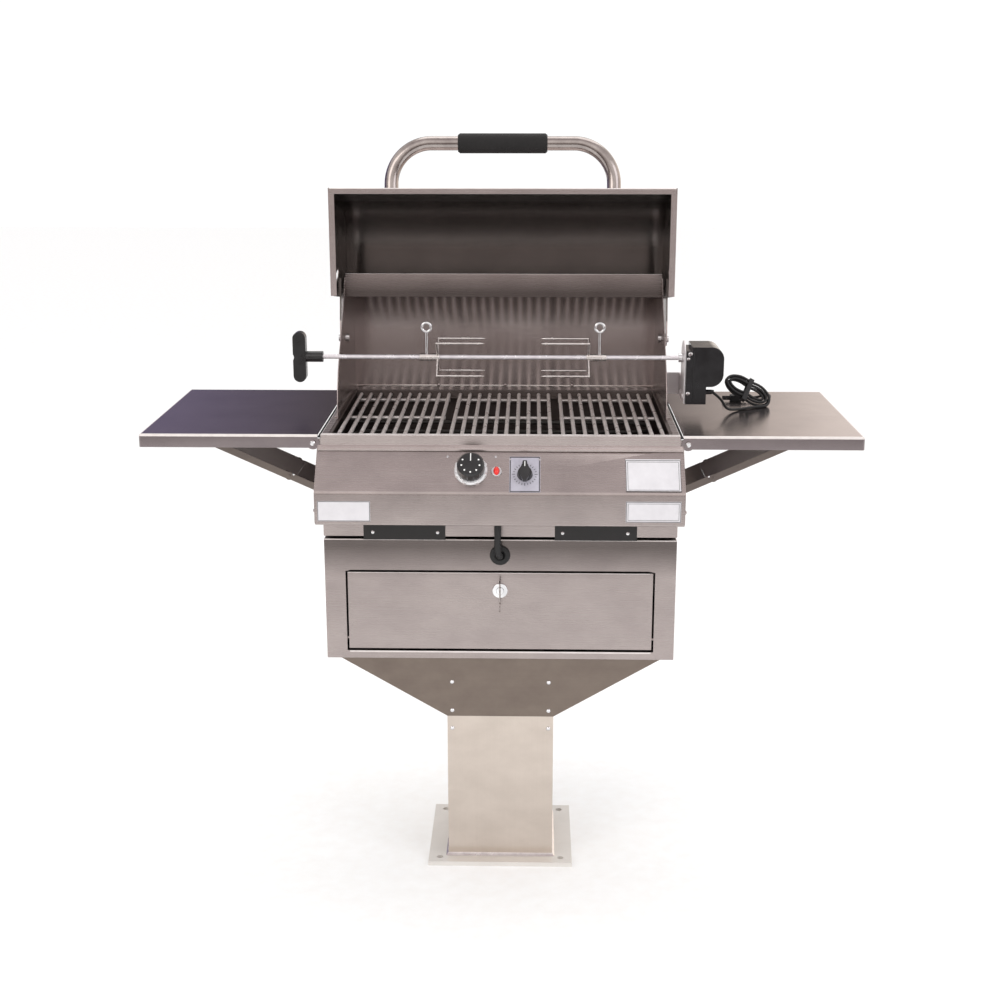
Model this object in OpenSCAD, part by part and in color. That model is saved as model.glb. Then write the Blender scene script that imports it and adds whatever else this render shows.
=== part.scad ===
// Pedestal electric grill with a tilting hood, a spit, two drop shelves and a lockable cabinet.
// Origin: centre of the base plate's underside. +X right, +Y away from the cook, +Z up. Millimetres.
// Most modules are drawn with Y measured back from the cabinet's front face, then moved by from_front().

/* [Pedestal] */
// base plate width, left to right
base_w = 298; // [260:1:360]
// base plate depth, front to back
base_d = 260; // [240:1:320]
// base plate thickness
base_t = 9.5; // [6:0.5:16]
// anchor hole diameter
anchor_d = 13; // [9:0.5:18]
// anchor hole spacing, left to right
anchor_x = 251; // [236:1:264]
// anchor hole spacing, front to back
anchor_y = 218; // [212:1:232]
// column width
column_w = 216; // [200:1:222]
// column depth
column_d = 196; // [160:1:198]
// column wall
column_t = 3; // [2:0.5:5]
// height of the column's top edge
column_top = 322; // [280:1:340]

/* [Cabinet] */
// body width, shared by the cabinet and the head
body_w = 692; // [660:1:720]
// cabinet depth
cabinet_d = 330; // [300:1:360]
// height of the cabinet's underside
cabinet_z = 456.5; // [440:0.5:470]
// cabinet height
cabinet_h = 249; // [240:1:252]
// cabinet wall
cabinet_t = 2; // [1.5:0.5:3]
// door opening width
opening_w = 610; // [560:1:630]
// door opening height
opening_h = 168; // [150:1:176]
// door opening's sill above the cabinet's underside
sill_h = 16.5; // [12:0.5:24]
// clearance round the door
door_gap = 4; // [3:0.5:6]
// depth of the door's folded edges
door_fold = 16; // [12:1:18]

/* [Head] */
// gap between cabinet and head, held open by the angles
head_gap = 5.5; // [4:0.5:8]
// head depth
head_d = 480; // [470:1:500]
// height of the cooking ledge and of the shelves
ledge_z = 914; // [900:1:930]
// head sheet thickness
head_t = 1.5; // [1:0.5:2]
// how far the control panel stands out from the front face
panel_out = 66; // [56:1:76]
// how far the control panel stands past the body at each side
panel_over = 7; // [4:0.5:8]
// control panel sheet thickness
panel_t = 2; // [1.5:0.5:2.5]
// height of the control panel's lower edge
panel_low = 752; // [740:1:760]
// height where the sloping face meets the upright face
panel_bend = 820; // [810:1:830]
// side cheek height above the ledge, at its front
cheek_front = 21; // [15:1:30]

/* [Grates] */
// grate rod diameter
rod_d = 8; // [6:0.5:9.5]
// spacing of the grate rods
rod_pitch = 21.6; // [20:0.1:22.4]
// rods in each grate
rod_count = 10; // [8:1:10]
// gap between neighbouring grates' outer rods
grate_gap = 25; // [16:1:28]
// length of the grate rods
grate_len = 436; // [420:1:440]

/* [Hood] */
// height of the hood's pivots
pivot_z = 1050; // [1044:1:1056]
// pivots back from the front face
pivot_y = 338; // [334:1:342]
// hood sheet thickness
hood_t = 2; // [1.5:0.5:2.5]
// outside radius of the hood's rolled corner
hood_roll = 110; // [60:5:120]
// width of the rim turned in round the hood's mouth
rim_w = 12; // [8:1:14]
// height of the closed hood's mouth
mouth_z = 922; // [920:1:926]
// height of the closed hood's top
hood_top = 1184; // [1182:1:1200]
// handle tube diameter
handle_d = 28; // [22:1:32]
// handle bend radius at the tube's centre
handle_bend = 80; // [60:1:90]
// half the distance between the handle's legs
handle_half = 222; // [180:1:240]
// how far the handle stands off the hood
handle_off = 92; // [88:1:110]
// grip length
grip_len = 178; // [140:1:200]
// grip diameter
grip_d = 39; // [34:1:44]

/* [Spit] */
// spit rod diameter
spit_d = 9; // [8:0.5:10]
// spit height
spit_z = 1032; // [1028:1:1034]
// spit back from the front face
spit_y = 200; // [196:1:204]
// length of a fork's tines
tine_len = 92; // [80:1:110]
// half the side of the square that a fork's tines stand on
tine_half = 33; // [26:1:38]
// fork tine diameter
tine_d = 4.4; // [3.5:0.1:5]

/* [Shelves] */
// shelf length out from the body
shelf_w = 346.5; // [330:0.5:360]
// shelf depth, front to back
shelf_d = 457; // [440:1:470]
// depth of the shelf's skirts
skirt_h = 26; // [24:1:27]
// shelf sheet thickness
shelf_t = 1.5; // [1:0.5:2]
// shelf pivot out from the body's side
pivot_out = 15; // [14:0.5:16]
// brace width, front to back
brace_w = 127; // [110:1:140]
// brace flange depth
brace_flange = 14; // [13:0.5:15]
// brace sheet thickness
brace_t = 1.5; // [1:0.5:2]
// brace rod diameter
brace_rod = 6; // [5:0.5:6.5]

/* [Controls] */
// heat knob diameter
knob_d = 54; // [44:1:58]
// heat knob height
knob_h = 22; // [18:1:28]
// chrome skirt diameter
skirt_d = 65; // [60:1:70]
// timer knob diameter
timer_d = 30; // [24:1:34]

/* [Hidden] */
$fn = 48;
eps = 0.01;
fit = 0.05;                                        // radial running clearance
side_gap = 0.3;                                    // clearance between parts that slide past each other
front_y = -124;
body_half = body_w / 2;
panel_half = body_half + panel_over;
cabinet_top = cabinet_z + cabinet_h;
head_z = cabinet_top + head_gap;
screw_head = 5;
screw_tall = 2.2;
screw_r = 2.2;

// pedestal
column_front = -column_d / 2;
sleeve_t = 2.5;
sleeve_low = column_top - 60;
sleeve_high = column_top + 98;
column_screw_x = column_w / 2 - 10;
funnel_half = body_half - 9;

// cabinet
sill_z = cabinet_z + sill_h;
lintel_z = sill_z + opening_h;
jamb_d = 18;
door_half = opening_w / 2 - door_gap;
door_low = sill_z + door_gap;
door_high = lintel_z - door_gap;
door_pin_y = 8;
door_pin_z = door_low + 21;
door_pin_r = 3;
lock_z = door_high - 36;
lock_r = 15;
barrel_r = 9;
plug_r = 7;
cam_len = 50;
grommet_z = cabinet_top - 31.5;
grommet_r = 20;
cord_r = 6.5;
angle_low = 107;
angle_high = 267;
angle_h = 24;
angle_t = 3;

// head: outlines in (back from the front, height)
slope_top = [-10, 880];
slope_low = [-panel_out + 3, panel_bend];
slope_vec = slope_low - slope_top;
slope_len = norm(slope_vec);
slope_dir = slope_vec / slope_len;
slope_angle = atan2(-slope_vec[0], -slope_vec[1]);
panel_top = slope_top - slope_dir * (slope_top[0] - panel_t) / slope_dir[0];
cheek_in = body_half - 16;
cheek_t = 2;
rail_in = cheek_in + cheek_t;
roof_r = 128;
back_y = pivot_y + roof_r;
liner_half = cheek_in - 2;
liner_front = 14;
liner_back = back_y - 6;
liner_low = 770;
grate_z = ledge_z - 9;
element_r = 4;
element_z = 858;
grate_w = (rod_count - 1) * rod_pitch;
grate_step = grate_w + grate_gap;
grate_front = liner_front + 3;

// hood, drawn closed and turned up by a quarter turn
hood_open = -90;
arm_t = 3;
arm_in = body_half - hood_t - arm_t;
mouth_front = 20;
mouth_back = 234;
hood_edge = 272;
front_low = [mouth_front, mouth_z];
roll_corner = [mouth_front + 52.6, hood_top];
pin_r = 6;
spit_r = spit_d / 2;
visor_y = pivot_y - 14;
visor_rise = 9;
visor_drop = 40;
spit_reach = norm([spit_y - pivot_y, spit_z - pivot_z]);
spit_low = atan2(pivot_z - spit_z, pivot_y - spit_y);
slot_half = spit_r + 4.5;

// handle, measured up from the hood's front sheet
front_vec = (roll_corner - front_low) / norm(roll_corner - front_low);
front_lean = atan2(front_vec[0], front_vec[1]);
roll_turn = 90 - front_lean;
roll_start = roll_corner - front_vec * hood_roll * tan(roll_turn / 2);
roll_end = roll_corner + [hood_roll * tan(roll_turn / 2), 0];
roll_mid = roll_end - [0, hood_roll];
handle_from_lip = 30;

// shelves and braces, in (out from the centre, height)
shelf_in = body_half + 6;
shelf_out = body_half + 6 + shelf_w;
hinge_x = body_half + pivot_out;
hinge_z = ledge_z - 16;
lug_r = 13;
pivot_r = 3;
wall_pin = [hinge_x - 4, hinge_z - 108];
shelf_pin = [hinge_x + 235, hinge_z];
brace_vec = shelf_pin - wall_pin;
brace_len = norm(brace_vec);
brace_angle = atan2(brace_vec[1], brace_vec[0]);
hook_at = 67.5;
brace_mid = 118.5;
brace_half = brace_w / 2;
rod_r = brace_rod / 2;
inner_half = brace_half - brace_t - 2;
lug_at = inner_half - 9;
lug_t = 4;
ear_r = brace_flange / 2 + 1;

// spit and motor
spit_left = -375;
plate_x = body_half + 20;
plate_t = 3;
hub_r = 9;
fork_x = 127;
fork_right = 171;
hub_len = 40;
neck_len = 36;
motor_y = spit_y;
motor_half = 42;
motor_x = plate_x + plate_t;
motor_top = 1060;
bracket_low = 944;
bracket_high = 989;

// cords, in millimetres back from the front face
lead_r = 2.75;
lead_route = [[422, 200, 962], [428, 200, 961.6], [446, 205, 946], [462, 220, 924], [486, 244, 917.2],
    [516, 264, 917.1], [540, 276, 917.1], [551, 284, 917.3], [556.2, 290.2, 919.8], [558.7, 293.4, 924.6]];
tail_route = [[557.1, 298.6, 921.8], [560, 302.4, 927.3], [562, 312, 933], [556, 328, 931], [542, 341, 924.5],
    [528, 345, 921.5], [518, 345, 921.3]];
supply_route = [[-4, -34, 752], [-4, -34, 742], [-4, -34, 722], [-4, -33, 702], [-3, -28, 688],
    [-1, -19, 678], [0, -9, 674.3], [0, 0, 674], [0, 10, 674], [0, 20, 674]];
hank_mid = [512, 296, 947.7];
hank_tilt = 28;
hank_lean = -32;
hank_turns = 4;
hank_pitch = 6.9;
hank_a = 52;
hank_b = 25;
hank_waist = 4;
hank_layer = 6.2;
hank_rings = 24;

// front ledge, controls, grates and element
ledge_drop = 19;
panel_path = [[panel_t, panel_top[1] + 11], panel_top, slope_low, [-panel_out, panel_bend - 8],
    [-panel_out, panel_low], [0, panel_low]];
heat_x = -55;
heat_s = 35;
timer_x = 48;
timer_s = 44;
lamp_x = -6;
lamp_s = 38;
stem_r = 4;
plate_thick = 0.8;
grate_seat = grate_z - rod_d / 2;
element_runs = 4;
element_pitch = 92;
element_half = liner_half - 58;
tray_half = liner_half - 48;

// A sheet of thickness t folded along the points, with the thickness on the left of the path.
function miter(p, q, r, t) =
    let (a = (q - p) / norm(q - p), b = (r - q) / norm(r - q), n = [-a[1], a[0]], m = [-b[1], b[0]])
    (n + m) * t / (1 + n * m);
function normal_2d(p, q) = [p[1] - q[1], q[0] - p[0]] / norm(q - p);
function folded_side(p, t) = [for (i = [0 : len(p) - 1])
    i == 0 ? p[0] + normal_2d(p[0], p[1]) * t
    : i == len(p) - 1 ? p[i] + normal_2d(p[i - 1], p[i]) * t
    : p[i] + miter(p[i - 1], p[i], p[i + 1], t)];
function reversed(p) = [for (i = [len(p) - 1 : -1 : 0]) p[i]];
function folded(p, t) = concat(p, reversed(folded_side(p, t)));

module from_front() {
    translate([0, front_y, 0])
        children();
}

// An outline in (Y, Z) made solid along X, from x0 to x1.
module along_x(x0, x1) {
    translate([x0, 0, 0])
        rotate([90, 0, 90])
            linear_extrude(x1 - x0)
                children();
}

// An outline in (X, Z) made solid along Y, from y0 to y1.
module along_y(y0, y1) {
    translate([0, y1, 0])
        rotate([90, 0, 0])
            linear_extrude(y1 - y0)
                children();
}

module box(low, high) {
    translate(low)
        cube(high - low);
}

module rod_x(x0, x1, r) {
    translate([x0, 0, 0])
        rotate([0, 90, 0])
            cylinder(h = x1 - x0, r = r);
}

module rod_y(y0, y1, r) {
    translate([0, y0, 0])
        rotate([-90, 0, 0])
            cylinder(h = y1 - y0, r = r);
}

module both_sides() {
    children();
    mirror([1, 0, 0])
        children();
}

// A pan head screw whose head looks to -Y and seats on y = 0.
module front_screw(depth, head = screw_head, tall = screw_tall) {
    difference() {
        translate([0, tall * 1.2, 0])
            sphere(r = head * 1.06);
        box([-20, 0, -20], [20, 20, 20]);
        box([-20, -20, -20], [20, -tall, 20]);
    }
    rod_y(-eps, depth, screw_r - fit);
}

// A tube swept along points, with the rings turned by a fixed reference direction.
function unit(v) = v / norm(v);
function tangent(p, i) = unit(p[min(i + 1, len(p) - 1)] - p[max(i - 1, 0)]);
function ring(p, i, r, ref, n) =
    let (t = tangent(p, i), a = unit(cross(t, ref)), b = cross(t, a))
    [for (k = [0 : n - 1]) p[i] + a * r * cos(360 * k / n) + b * r * sin(360 * k / n)];
module swept(p, r, ref, n) {
    rings = len(p);
    points = [for (i = [0 : rings - 1]) each ring(p, i, r, ref, n)];
    sides = [for (i = [0 : rings - 2], k = [0 : n - 1])
        each let (a = i * n + k, b = i * n + (k + 1) % n) [[a, b, a + n], [b, b + n, a + n]]];
    first = [for (k = [1 : n - 2]) [0, k + 1, k]];
    last = [for (k = [1 : n - 2]) let (z = (rings - 1) * n) [z, z + k, z + k + 1]];
    polyhedron(points, concat(sides, first, last));
}
function curve_point(a, b, c, d, t) =
    0.5 * ((2 * b) + (c - a) * t + (2 * a - 5 * b + 4 * c - d) * t * t + (3 * b - a - 3 * c + d) * t * t * t);
function smoothed(p, steps) = [for (i = [0 : len(p) - 2], s = [0 : steps - 1])
        curve_point(p[max(i - 1, 0)], p[i], p[i + 1], p[min(i + 2, len(p) - 1)], s / steps),
    p[len(p) - 1]];
function path_length(p) = [for (i = 0, s = 0; i < len(p); s = s + (i + 1 < len(p) ? norm(p[i + 1] - p[i]) : 0),
    i = i + 1) s][len(p) - 1];

// Pedestal
module base_plate() {
    color("silver")
        difference() {
            box([-base_w / 2, -base_d / 2, 0], [base_w / 2, base_d / 2, base_t]);
            for (x = [-1, 1], y = [-1, 1])
                translate([x * anchor_x / 2, y * anchor_y / 2, -1])
                    cylinder(h = base_t + 2, d = anchor_d);
        }
}

module box_tube(w, d, t, z0, z1) {
    difference() {
        box([-w / 2, -d / 2, z0], [w / 2, d / 2, z1]);
        box([-w / 2 + t, -d / 2 + t, z0 - 1], [w / 2 - t, d / 2 - t, z1 + 1]);
    }
}

module pedestal_column() {
    color("tan")
        difference() {
            box_tube(column_w, column_d, column_t, base_t, column_top);
            pedestal_screw_places()
                rod_y(-1, column_t + sleeve_t + 1, screw_r);
        }
}

module splice_sleeve() {
    color("gray")
        difference() {
            box_tube(column_w - 2 * column_t, column_d - 2 * column_t, sleeve_t, sleeve_low, sleeve_high);
            pedestal_screw_places()
                rod_y(-1, column_t + sleeve_t + 1, screw_r);
        }
}

function funnel_reach(z, trim) =
    column_w / 2 - trim + (funnel_half - column_w / 2) * (z - column_top) / (cabinet_z - column_top);

module funnel_outline(trim) {
    polygon([[-funnel_reach(column_top, trim), column_top], [funnel_reach(column_top, trim), column_top],
        [funnel_reach(cabinet_z, trim), cabinet_z], [-funnel_reach(cabinet_z, trim), cabinet_z]]);
}

module funnel() {
    color("tan")
        difference() {
            along_y(column_front, -column_front)
                funnel_outline(0);
            along_y(column_front + column_t, -column_front - column_t)
                funnel_outline(column_t);
            pedestal_screw_places()
                rod_y(-1, column_t + sleeve_t + 1, screw_r);
        }
}

module pedestal_screw_places() {
    for (x = [-1, 1], z = [column_top - 27, column_top + 12, column_top + 74])
        translate([x * column_screw_x, column_front, z])
            children();
}

module pedestal_screws() {
    color("silver")
        pedestal_screw_places()
            front_screw(column_t + sleeve_t);
}

// Cabinet
module cabinet_shell() {
    color("darkgray")
        from_front()
            difference() {
                box([-body_half, 0, cabinet_z], [body_half, cabinet_d, cabinet_top]);
                difference() {
                    box([-body_half + cabinet_t, cabinet_t, cabinet_z + cabinet_t],
                        [body_half - cabinet_t, cabinet_d - cabinet_t, cabinet_top - cabinet_t]);
                    for (s = [-1, 1])
                        translate([s * (opening_w / 2 + 1), 0, 0])
                            box([-1, 0, sill_z - 2], [1, jamb_d, lintel_z + 2]);
                    box([-opening_w / 2, 0, lintel_z], [opening_w / 2, jamb_d, lintel_z + 2]);
                }
                box([-opening_w / 2, -1, sill_z], [opening_w / 2, cabinet_t + 1, lintel_z]);
                translate([0, -1, grommet_z])
                    rod_y(0, 10, grommet_r - 6);
                translate([0, door_pin_y, door_pin_z])
                    rod_x(-opening_w / 2 - 4, opening_w / 2 + 4, door_pin_r + fit);
            }
}

module door_outline_box(trim, y0, y1) {
    box([-door_half + trim, y0, door_low + trim], [door_half - trim, y1, door_high - trim]);
}

module cabinet_door() {
    color("silver")
        from_front() {
            difference() {
                door_outline_box(0, 0, door_fold);
                door_outline_box(2, 2, door_fold + 1);
                translate([0, -1, lock_z])
                    rod_y(0, 10, barrel_r);
            }
            both_sides()
                translate([0, door_pin_y, door_pin_z])
                    rod_x(door_half - 6, opening_w / 2 + 2, door_pin_r);
        }
}

module lock_barrel() {
    color("silver")
        from_front()
            translate([0, 0, lock_z])
                difference() {
                    union() {
                        rod_y(-3, 0, lock_r);
                        rod_y(-eps, 19.5, barrel_r);
                    }
                    rod_y(-4, 21, plug_r + fit);
                }
}

module lock_cam() {
    color("gray")
        from_front()
            translate([0, 0, lock_z]) {
                rod_y(-3.6, 20, plug_r);
                along_y(20, 22)
                    difference() {
                        union() {
                            circle(r = 8);
                            translate([0, -6])
                                square([cam_len - 6, 12]);
                            translate([cam_len - 6, 0])
                                circle(r = 6);
                        }
                        circle(r = 2);
                    }
            }
}

module lock_key() {
    color("silver")
        from_front()
            translate([0, -3.6, lock_z])
                along_x(-1.2, 1.2) {
                    difference() {
                        union() {
                            translate([-8, -4])
                                square([8, 8]);
                            translate([-15, 14])
                                circle(r = 12);
                            translate([-15, -26])
                                circle(r = 12);
                            translate([-22, -26])
                                square([14, 40]);
                        }
                        translate([-16, -27])
                            circle(r = 4);
                        translate([-16, 15])
                            circle(r = 4);
                    }
                }
}

module cord_grommet() {
    color("black")
        from_front()
            translate([0, 0, grommet_z])
                rotate([90, 0, 0])
                    rotate_extrude()
                        polygon([[cord_r + 0.3, -6], [grommet_r - 6, -6], [grommet_r - 6, 0], [grommet_r, 0],
                            [grommet_r, 2.5], [grommet_r - 2.5, 5], [cord_r + 4, 5], [cord_r + 0.3, 1.5]]);
}

module supply_cord() {
    color("black")
        from_front()
            swept(smoothed(supply_route, 2), cord_r - 0.2, [1, 0, 0], 10);
}

// Angles between cabinet and head, at the front and at the back.
module mount_angles() {
    color("dimgray")
        from_front()
            for (s = [-1, 1]) {
                x0 = s < 0 ? -angle_high : angle_low;
                difference() {
                    union() {
                        box([x0, -angle_t, cabinet_top], [x0 + angle_high - angle_low, 0, head_z + angle_h]);
                        box([x0, 0, cabinet_top], [x0 + angle_high - angle_low, 40, head_z]);
                    }
                    angle_screw_places()
                        rod_y(-1, 12, screw_r);
                }
                box([x0, cabinet_d - 60, cabinet_top], [x0 + angle_high - angle_low, cabinet_d, head_z]);
            }
}

module angle_screw_places() {
    for (s = [-1, 1], x = [angle_low + 15, angle_high - 18])
        translate([s * x, -angle_t, head_z + 9])
            children();
}

module angle_screws() {
    color("silver")
        from_front()
            angle_screw_places()
                front_screw(angle_t + head_t + 3, 4, 2);
}

// Head
module firebox_shell() {
    color("darkgray")
        from_front()
            difference() {
                box([-body_half, 0, head_z], [body_half, head_d, ledge_z]);
                box([-body_half + head_t, head_t, head_z + head_t],
                    [body_half - head_t, head_d - head_t, ledge_z - head_t]);
                box([-rail_in, -1, ledge_z - 4], [rail_in, back_y, ledge_z + 1]);
                box([-body_half - 1, -1, panel_top[1] - 16], [body_half + 1, 2 * panel_t, ledge_z + 1]);
                box([-body_half - 1, -1, ledge_z - 2 * head_t], [body_half + 1, liner_front, ledge_z + 1]);
                box([-body_half + 60, -1, panel_low + 12], [body_half - 60, head_t + 1, panel_low + 112]);
                angle_screw_places()
                    rod_y(-1, 12, screw_r);
            }
}

// What stands past the body's sides stays in front of them, clear of the shelf hinges.
module past_body() {
    both_sides()
        box([body_half, -side_gap, panel_low - 10], [panel_half + 10, liner_front + 10, ledge_z + 10]);
}

module front_ledge() {
    flare = [[liner_front, ledge_z], [0, ledge_z], [0, ledge_z - ledge_drop], [-8, ledge_z - ledge_drop - 7],
        [-8, ledge_z - ledge_drop - 10]];
    color("lightgray")
        from_front()
            difference() {
                along_x(-panel_half + panel_t, panel_half - panel_t)
                    polygon(folded(flare, panel_t));
                past_body();
            }
}

// Places a child on the sloping face: x across, s down the slope from its top edge.
module on_slope(x, s) {
    p = slope_top + slope_dir * s;
    from_front()
        translate([x, p[0], p[1]])
            rotate([90 - slope_angle, 0, 0])
                children();
}

module control_panel() {
    color("lightgray")
        difference() {
            from_front()
                along_x(-panel_half + panel_t, panel_half - panel_t)
                    polygon(folded(panel_path, panel_t));
            from_front()
                past_body();
            on_slope(heat_x, heat_s)
                translate([0, 0, -10])
                    cylinder(h = 20, r = stem_r + 2);
            on_slope(timer_x, timer_s)
                translate([0, 0, -10])
                    cylinder(h = 20, r = stem_r + 2);
            on_slope(lamp_x, lamp_s)
                translate([0, 0, -10])
                    cylinder(h = 20, r = 7);
        }
}

module panel_bolts() {
    from_front()
        both_sides()
            translate([panel_half, -panel_out + 14, panel_low + 25])
                difference() {
                    translate([-1.5, 0, 0])
                        sphere(r = 5.5);
                    box([-20, -20, -20], [0, 20, 20]);
                }
}

module panel_caps() {
    outline = [[0, ledge_z - ledge_drop - 1], [-8, ledge_z - ledge_drop - 12], slope_top, slope_low,
        [-panel_out, panel_bend - 8], [-panel_out, panel_low + 5], [-panel_out + 5, panel_low], [0, panel_low]];
    color("silver") {
        from_front()
            both_sides()
                along_x(panel_half - panel_t, panel_half)
                    polygon(outline);
        panel_bolts();
    }
}

module panel_plates() {
    color("whitesmoke") {
        from_front() {
            box([-panel_half + 6, -panel_out - plate_thick, panel_low + 8], [-panel_half + 107, -panel_out, panel_low + 48]);
            box([panel_half - 113, -panel_out - plate_thick, panel_low + 9], [panel_half - 8, -panel_out, panel_low + 50]);
        }
        on_slope(panel_half - 60.5, slope_len / 2 + 4)
            translate([-52.5, -34, 0])
                cube([105, 68, plate_thick]);
    }
}

// Liner, tray, elements and grates inside the head
// The liner hangs from its side flanges, and two ledges across it carry the grates' ends.
module firebox_liner() {
    color("gray")
        from_front() {
            difference() {
                union() {
                    box([-liner_half, liner_front, liner_low], [liner_half, liner_back, ledge_z - head_t]);
                    box([-rail_in - 8, liner_front, ledge_z - head_t * 2], [rail_in + 8, liner_back, ledge_z - head_t]);
                }
                box([-liner_half + head_t, liner_front + head_t, liner_low + head_t],
                    [liner_half - head_t, liner_back - head_t, ledge_z + 1]);
            }
            for (y = [liner_front + head_t - eps, liner_back - head_t - 20])
                box([-liner_half + head_t - eps, y, grate_seat - 3], [liner_half - head_t + eps, y + 20 + eps, grate_seat]);
        }
}

module drip_tray() {
    color("silver")
        from_front()
            difference() {
                box([-tray_half, liner_front + 40, liner_low + head_t], [tray_half, liner_back - 40, liner_low + 30]);
                box([-tray_half + 2, liner_front + 42, liner_low + head_t + 2],
                    [tray_half - 2, liner_back - 42, liner_low + 31]);
            }
}

module heating_elements() {
    color("dimgray")
        from_front()
            translate([0, liner_front + 90, element_z]) {
                for (i = [0 : element_runs - 1])
                    translate([0, i * element_pitch, 0])
                        rod_x(-element_half, element_half, element_r);
                for (i = [0 : element_runs - 2])
                    translate([i % 2 == 0 ? element_half : -element_half, (i + 0.5) * element_pitch, 0])
                        rotate([0, 0, i % 2 == 0 ? -90 : 90])
                            rotate_extrude(angle = 180)
                                translate([element_pitch / 2, 0])
                                    circle(r = element_r);
                for (i = [0, element_runs - 1])
                    translate([-liner_half + head_t, i * element_pitch, 0])
                        rod_x(0, liner_half - head_t - element_half + 1, element_r);
                for (s = [-1, 1])
                    translate([s * 180, 0, 0])
                        box([-2, head_t - 90, -element_r - 12],
                            [2, liner_back - liner_front - head_t - 90, -element_r + 0.4]);
            }
}

module grate(i) {
    color("gainsboro")
        from_front()
            translate([(i - 1) * grate_step, 0, 0]) {
                for (k = [0 : rod_count - 1])
                    translate([-grate_w / 2 + k * rod_pitch, 0, grate_z])
                        rod_y(grate_front, grate_front + grate_len, rod_d / 2, $fn = 20);
                for (y = [liner_front + 34, (liner_front + liner_back) / 2, liner_back - 36])
                    translate([0, y, grate_z - rod_d + 0.6])
                        rod_x(-grate_w / 2 - 4, grate_w / 2 + 4, rod_d / 2, $fn = 20);
            }
}

module grate_left() {
    grate(0);
}

module grate_middle() {
    grate(1);
}

module grate_right() {
    grate(2);
}

// Side cheeks with the spit's notch and the roof that closes the back.
module cheek_outline() {
    difference() {
        union() {
            polygon([[146, ledge_z], [146, ledge_z + cheek_front], [156, 972], [176, 1008], [205, 1040],
                [246, 1078], [286, 1120], [pivot_y - 14, pivot_z + roof_r], [pivot_y, pivot_z + roof_r],
                [pivot_y, pivot_z], [back_y, pivot_z], [back_y, ledge_z]]);
            intersection() {
                translate([pivot_y, pivot_z])
                    circle(r = roof_r, $fn = 96);
                translate([pivot_y, pivot_z])
                    square(roof_r);
            }
        }
        translate([pivot_y, pivot_z])
            circle(r = pin_r);
        translate([spit_y, spit_z])
            rotate(140) {
                circle(r = spit_r + fit);
                translate([0, -spit_r - fit])
                    square([60, 2 * (spit_r + fit)]);
            }
    }
}

module cheek(side) {
    color("dimgray")
        from_front()
            mirror([side < 0 ? 1 : 0, 0, 0]) {
                along_x(cheek_in, cheek_in + cheek_t)
                    cheek_outline();
                box([rail_in - eps, 160, ledge_z], [rail_in + 8, back_y, ledge_z + 2]);
            }
}

module cheek_left() {
    cheek(-1);
}

module cheek_right() {
    cheek(1);
}

module housing_screws() {
    for (x = [-146, 2, 150])
        translate([x, back_y - head_t, ledge_z + 11])
            difference() {
                translate([0, 1.5, 0])
                    sphere(r = 4.5);
                box([-9, 0, -9], [9, 9, 9]);
            }
}

module rear_housing() {
    color("rosybrown")
        from_front() {
            along_x(-cheek_in, cheek_in) {
                translate([back_y - head_t, ledge_z - head_t * 4])
                    square([head_t, pivot_z - ledge_z + head_t * 4 + eps]);
                intersection() {
                    translate([pivot_y, pivot_z])
                        difference() {
                            circle(r = roof_r, $fn = 96);
                            circle(r = roof_r - head_t, $fn = 96);
                        }
                    translate([pivot_y, pivot_z])
                        square(roof_r);
                }
                polygon(folded([[pivot_y + eps, pivot_z + roof_r], [visor_y, pivot_z + roof_r + visor_rise],
                    [visor_y, pivot_z + roof_r - visor_drop]], head_t));
            }
            housing_screws();
        }
}

// Controls on the sloping face
module knob_skirt() {
    color("silver")
        on_slope(heat_x, heat_s)
            difference() {
                cylinder(h = 4, d1 = skirt_d, d2 = skirt_d - 6);
                translate([0, 0, -1])
                    cylinder(h = 8, r = stem_r + 2);
            }
}

module heat_knob() {
    color("black")
        on_slope(heat_x, heat_s) {
            translate([0, 0, 4.3])
                difference() {
                    union() {
                        cylinder(h = knob_h - 3, d1 = knob_d, d2 = knob_d - 2);
                        translate([0, 0, knob_h - 3 - eps])
                            cylinder(h = 3, d1 = knob_d - 2, d2 = knob_d - 8);
                    }
                    for (k = [0 : 11])
                        rotate(k * 30 + 15)
                            translate([knob_d / 2 + 2.2, 0, -1])
                                cylinder(h = knob_h + 2, r = 3.4, $fn = 20);
                }
            translate([0, 0, -12])
                cylinder(h = 16.4, r = stem_r);
        }
}

module heat_control() {
    color("dimgray")
        on_slope(heat_x, heat_s)
            difference() {
                translate([-25, -22, -panel_t - 34])
                    cube([50, 44, 34]);
                translate([0, 0, -18])
                    cylinder(h = 20, r = stem_r + fit);
            }
}

module lamp_bezel() {
    color("silver")
        on_slope(lamp_x, lamp_s)
            difference() {
                union() {
                    cylinder(h = 3, r1 = 11, r2 = 9.5);
                    translate([0, 0, -8])
                        cylinder(h = 9, r = 6.9);
                }
                translate([0, 0, -9])
                    cylinder(h = 20, r = 6);
            }
}

module lamp_lens() {
    color("red")
        on_slope(lamp_x, lamp_s) {
            translate([0, 0, -8])
                cylinder(h = 12, r = 5.95);
            translate([0, 0, 4])
                difference() {
                    sphere(r = 5.95);
                    translate([-8, -8, -16])
                        cube(16);
                }
        }
}

module timer_plate() {
    color("lightsteelblue")
        on_slope(timer_x, timer_s)
            difference() {
                translate([-29.5, -38, 0])
                    cube([59, 76, 1]);
                translate([0, 0, -1])
                    cylinder(h = 4, r = stem_r + 2);
            }
}

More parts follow.
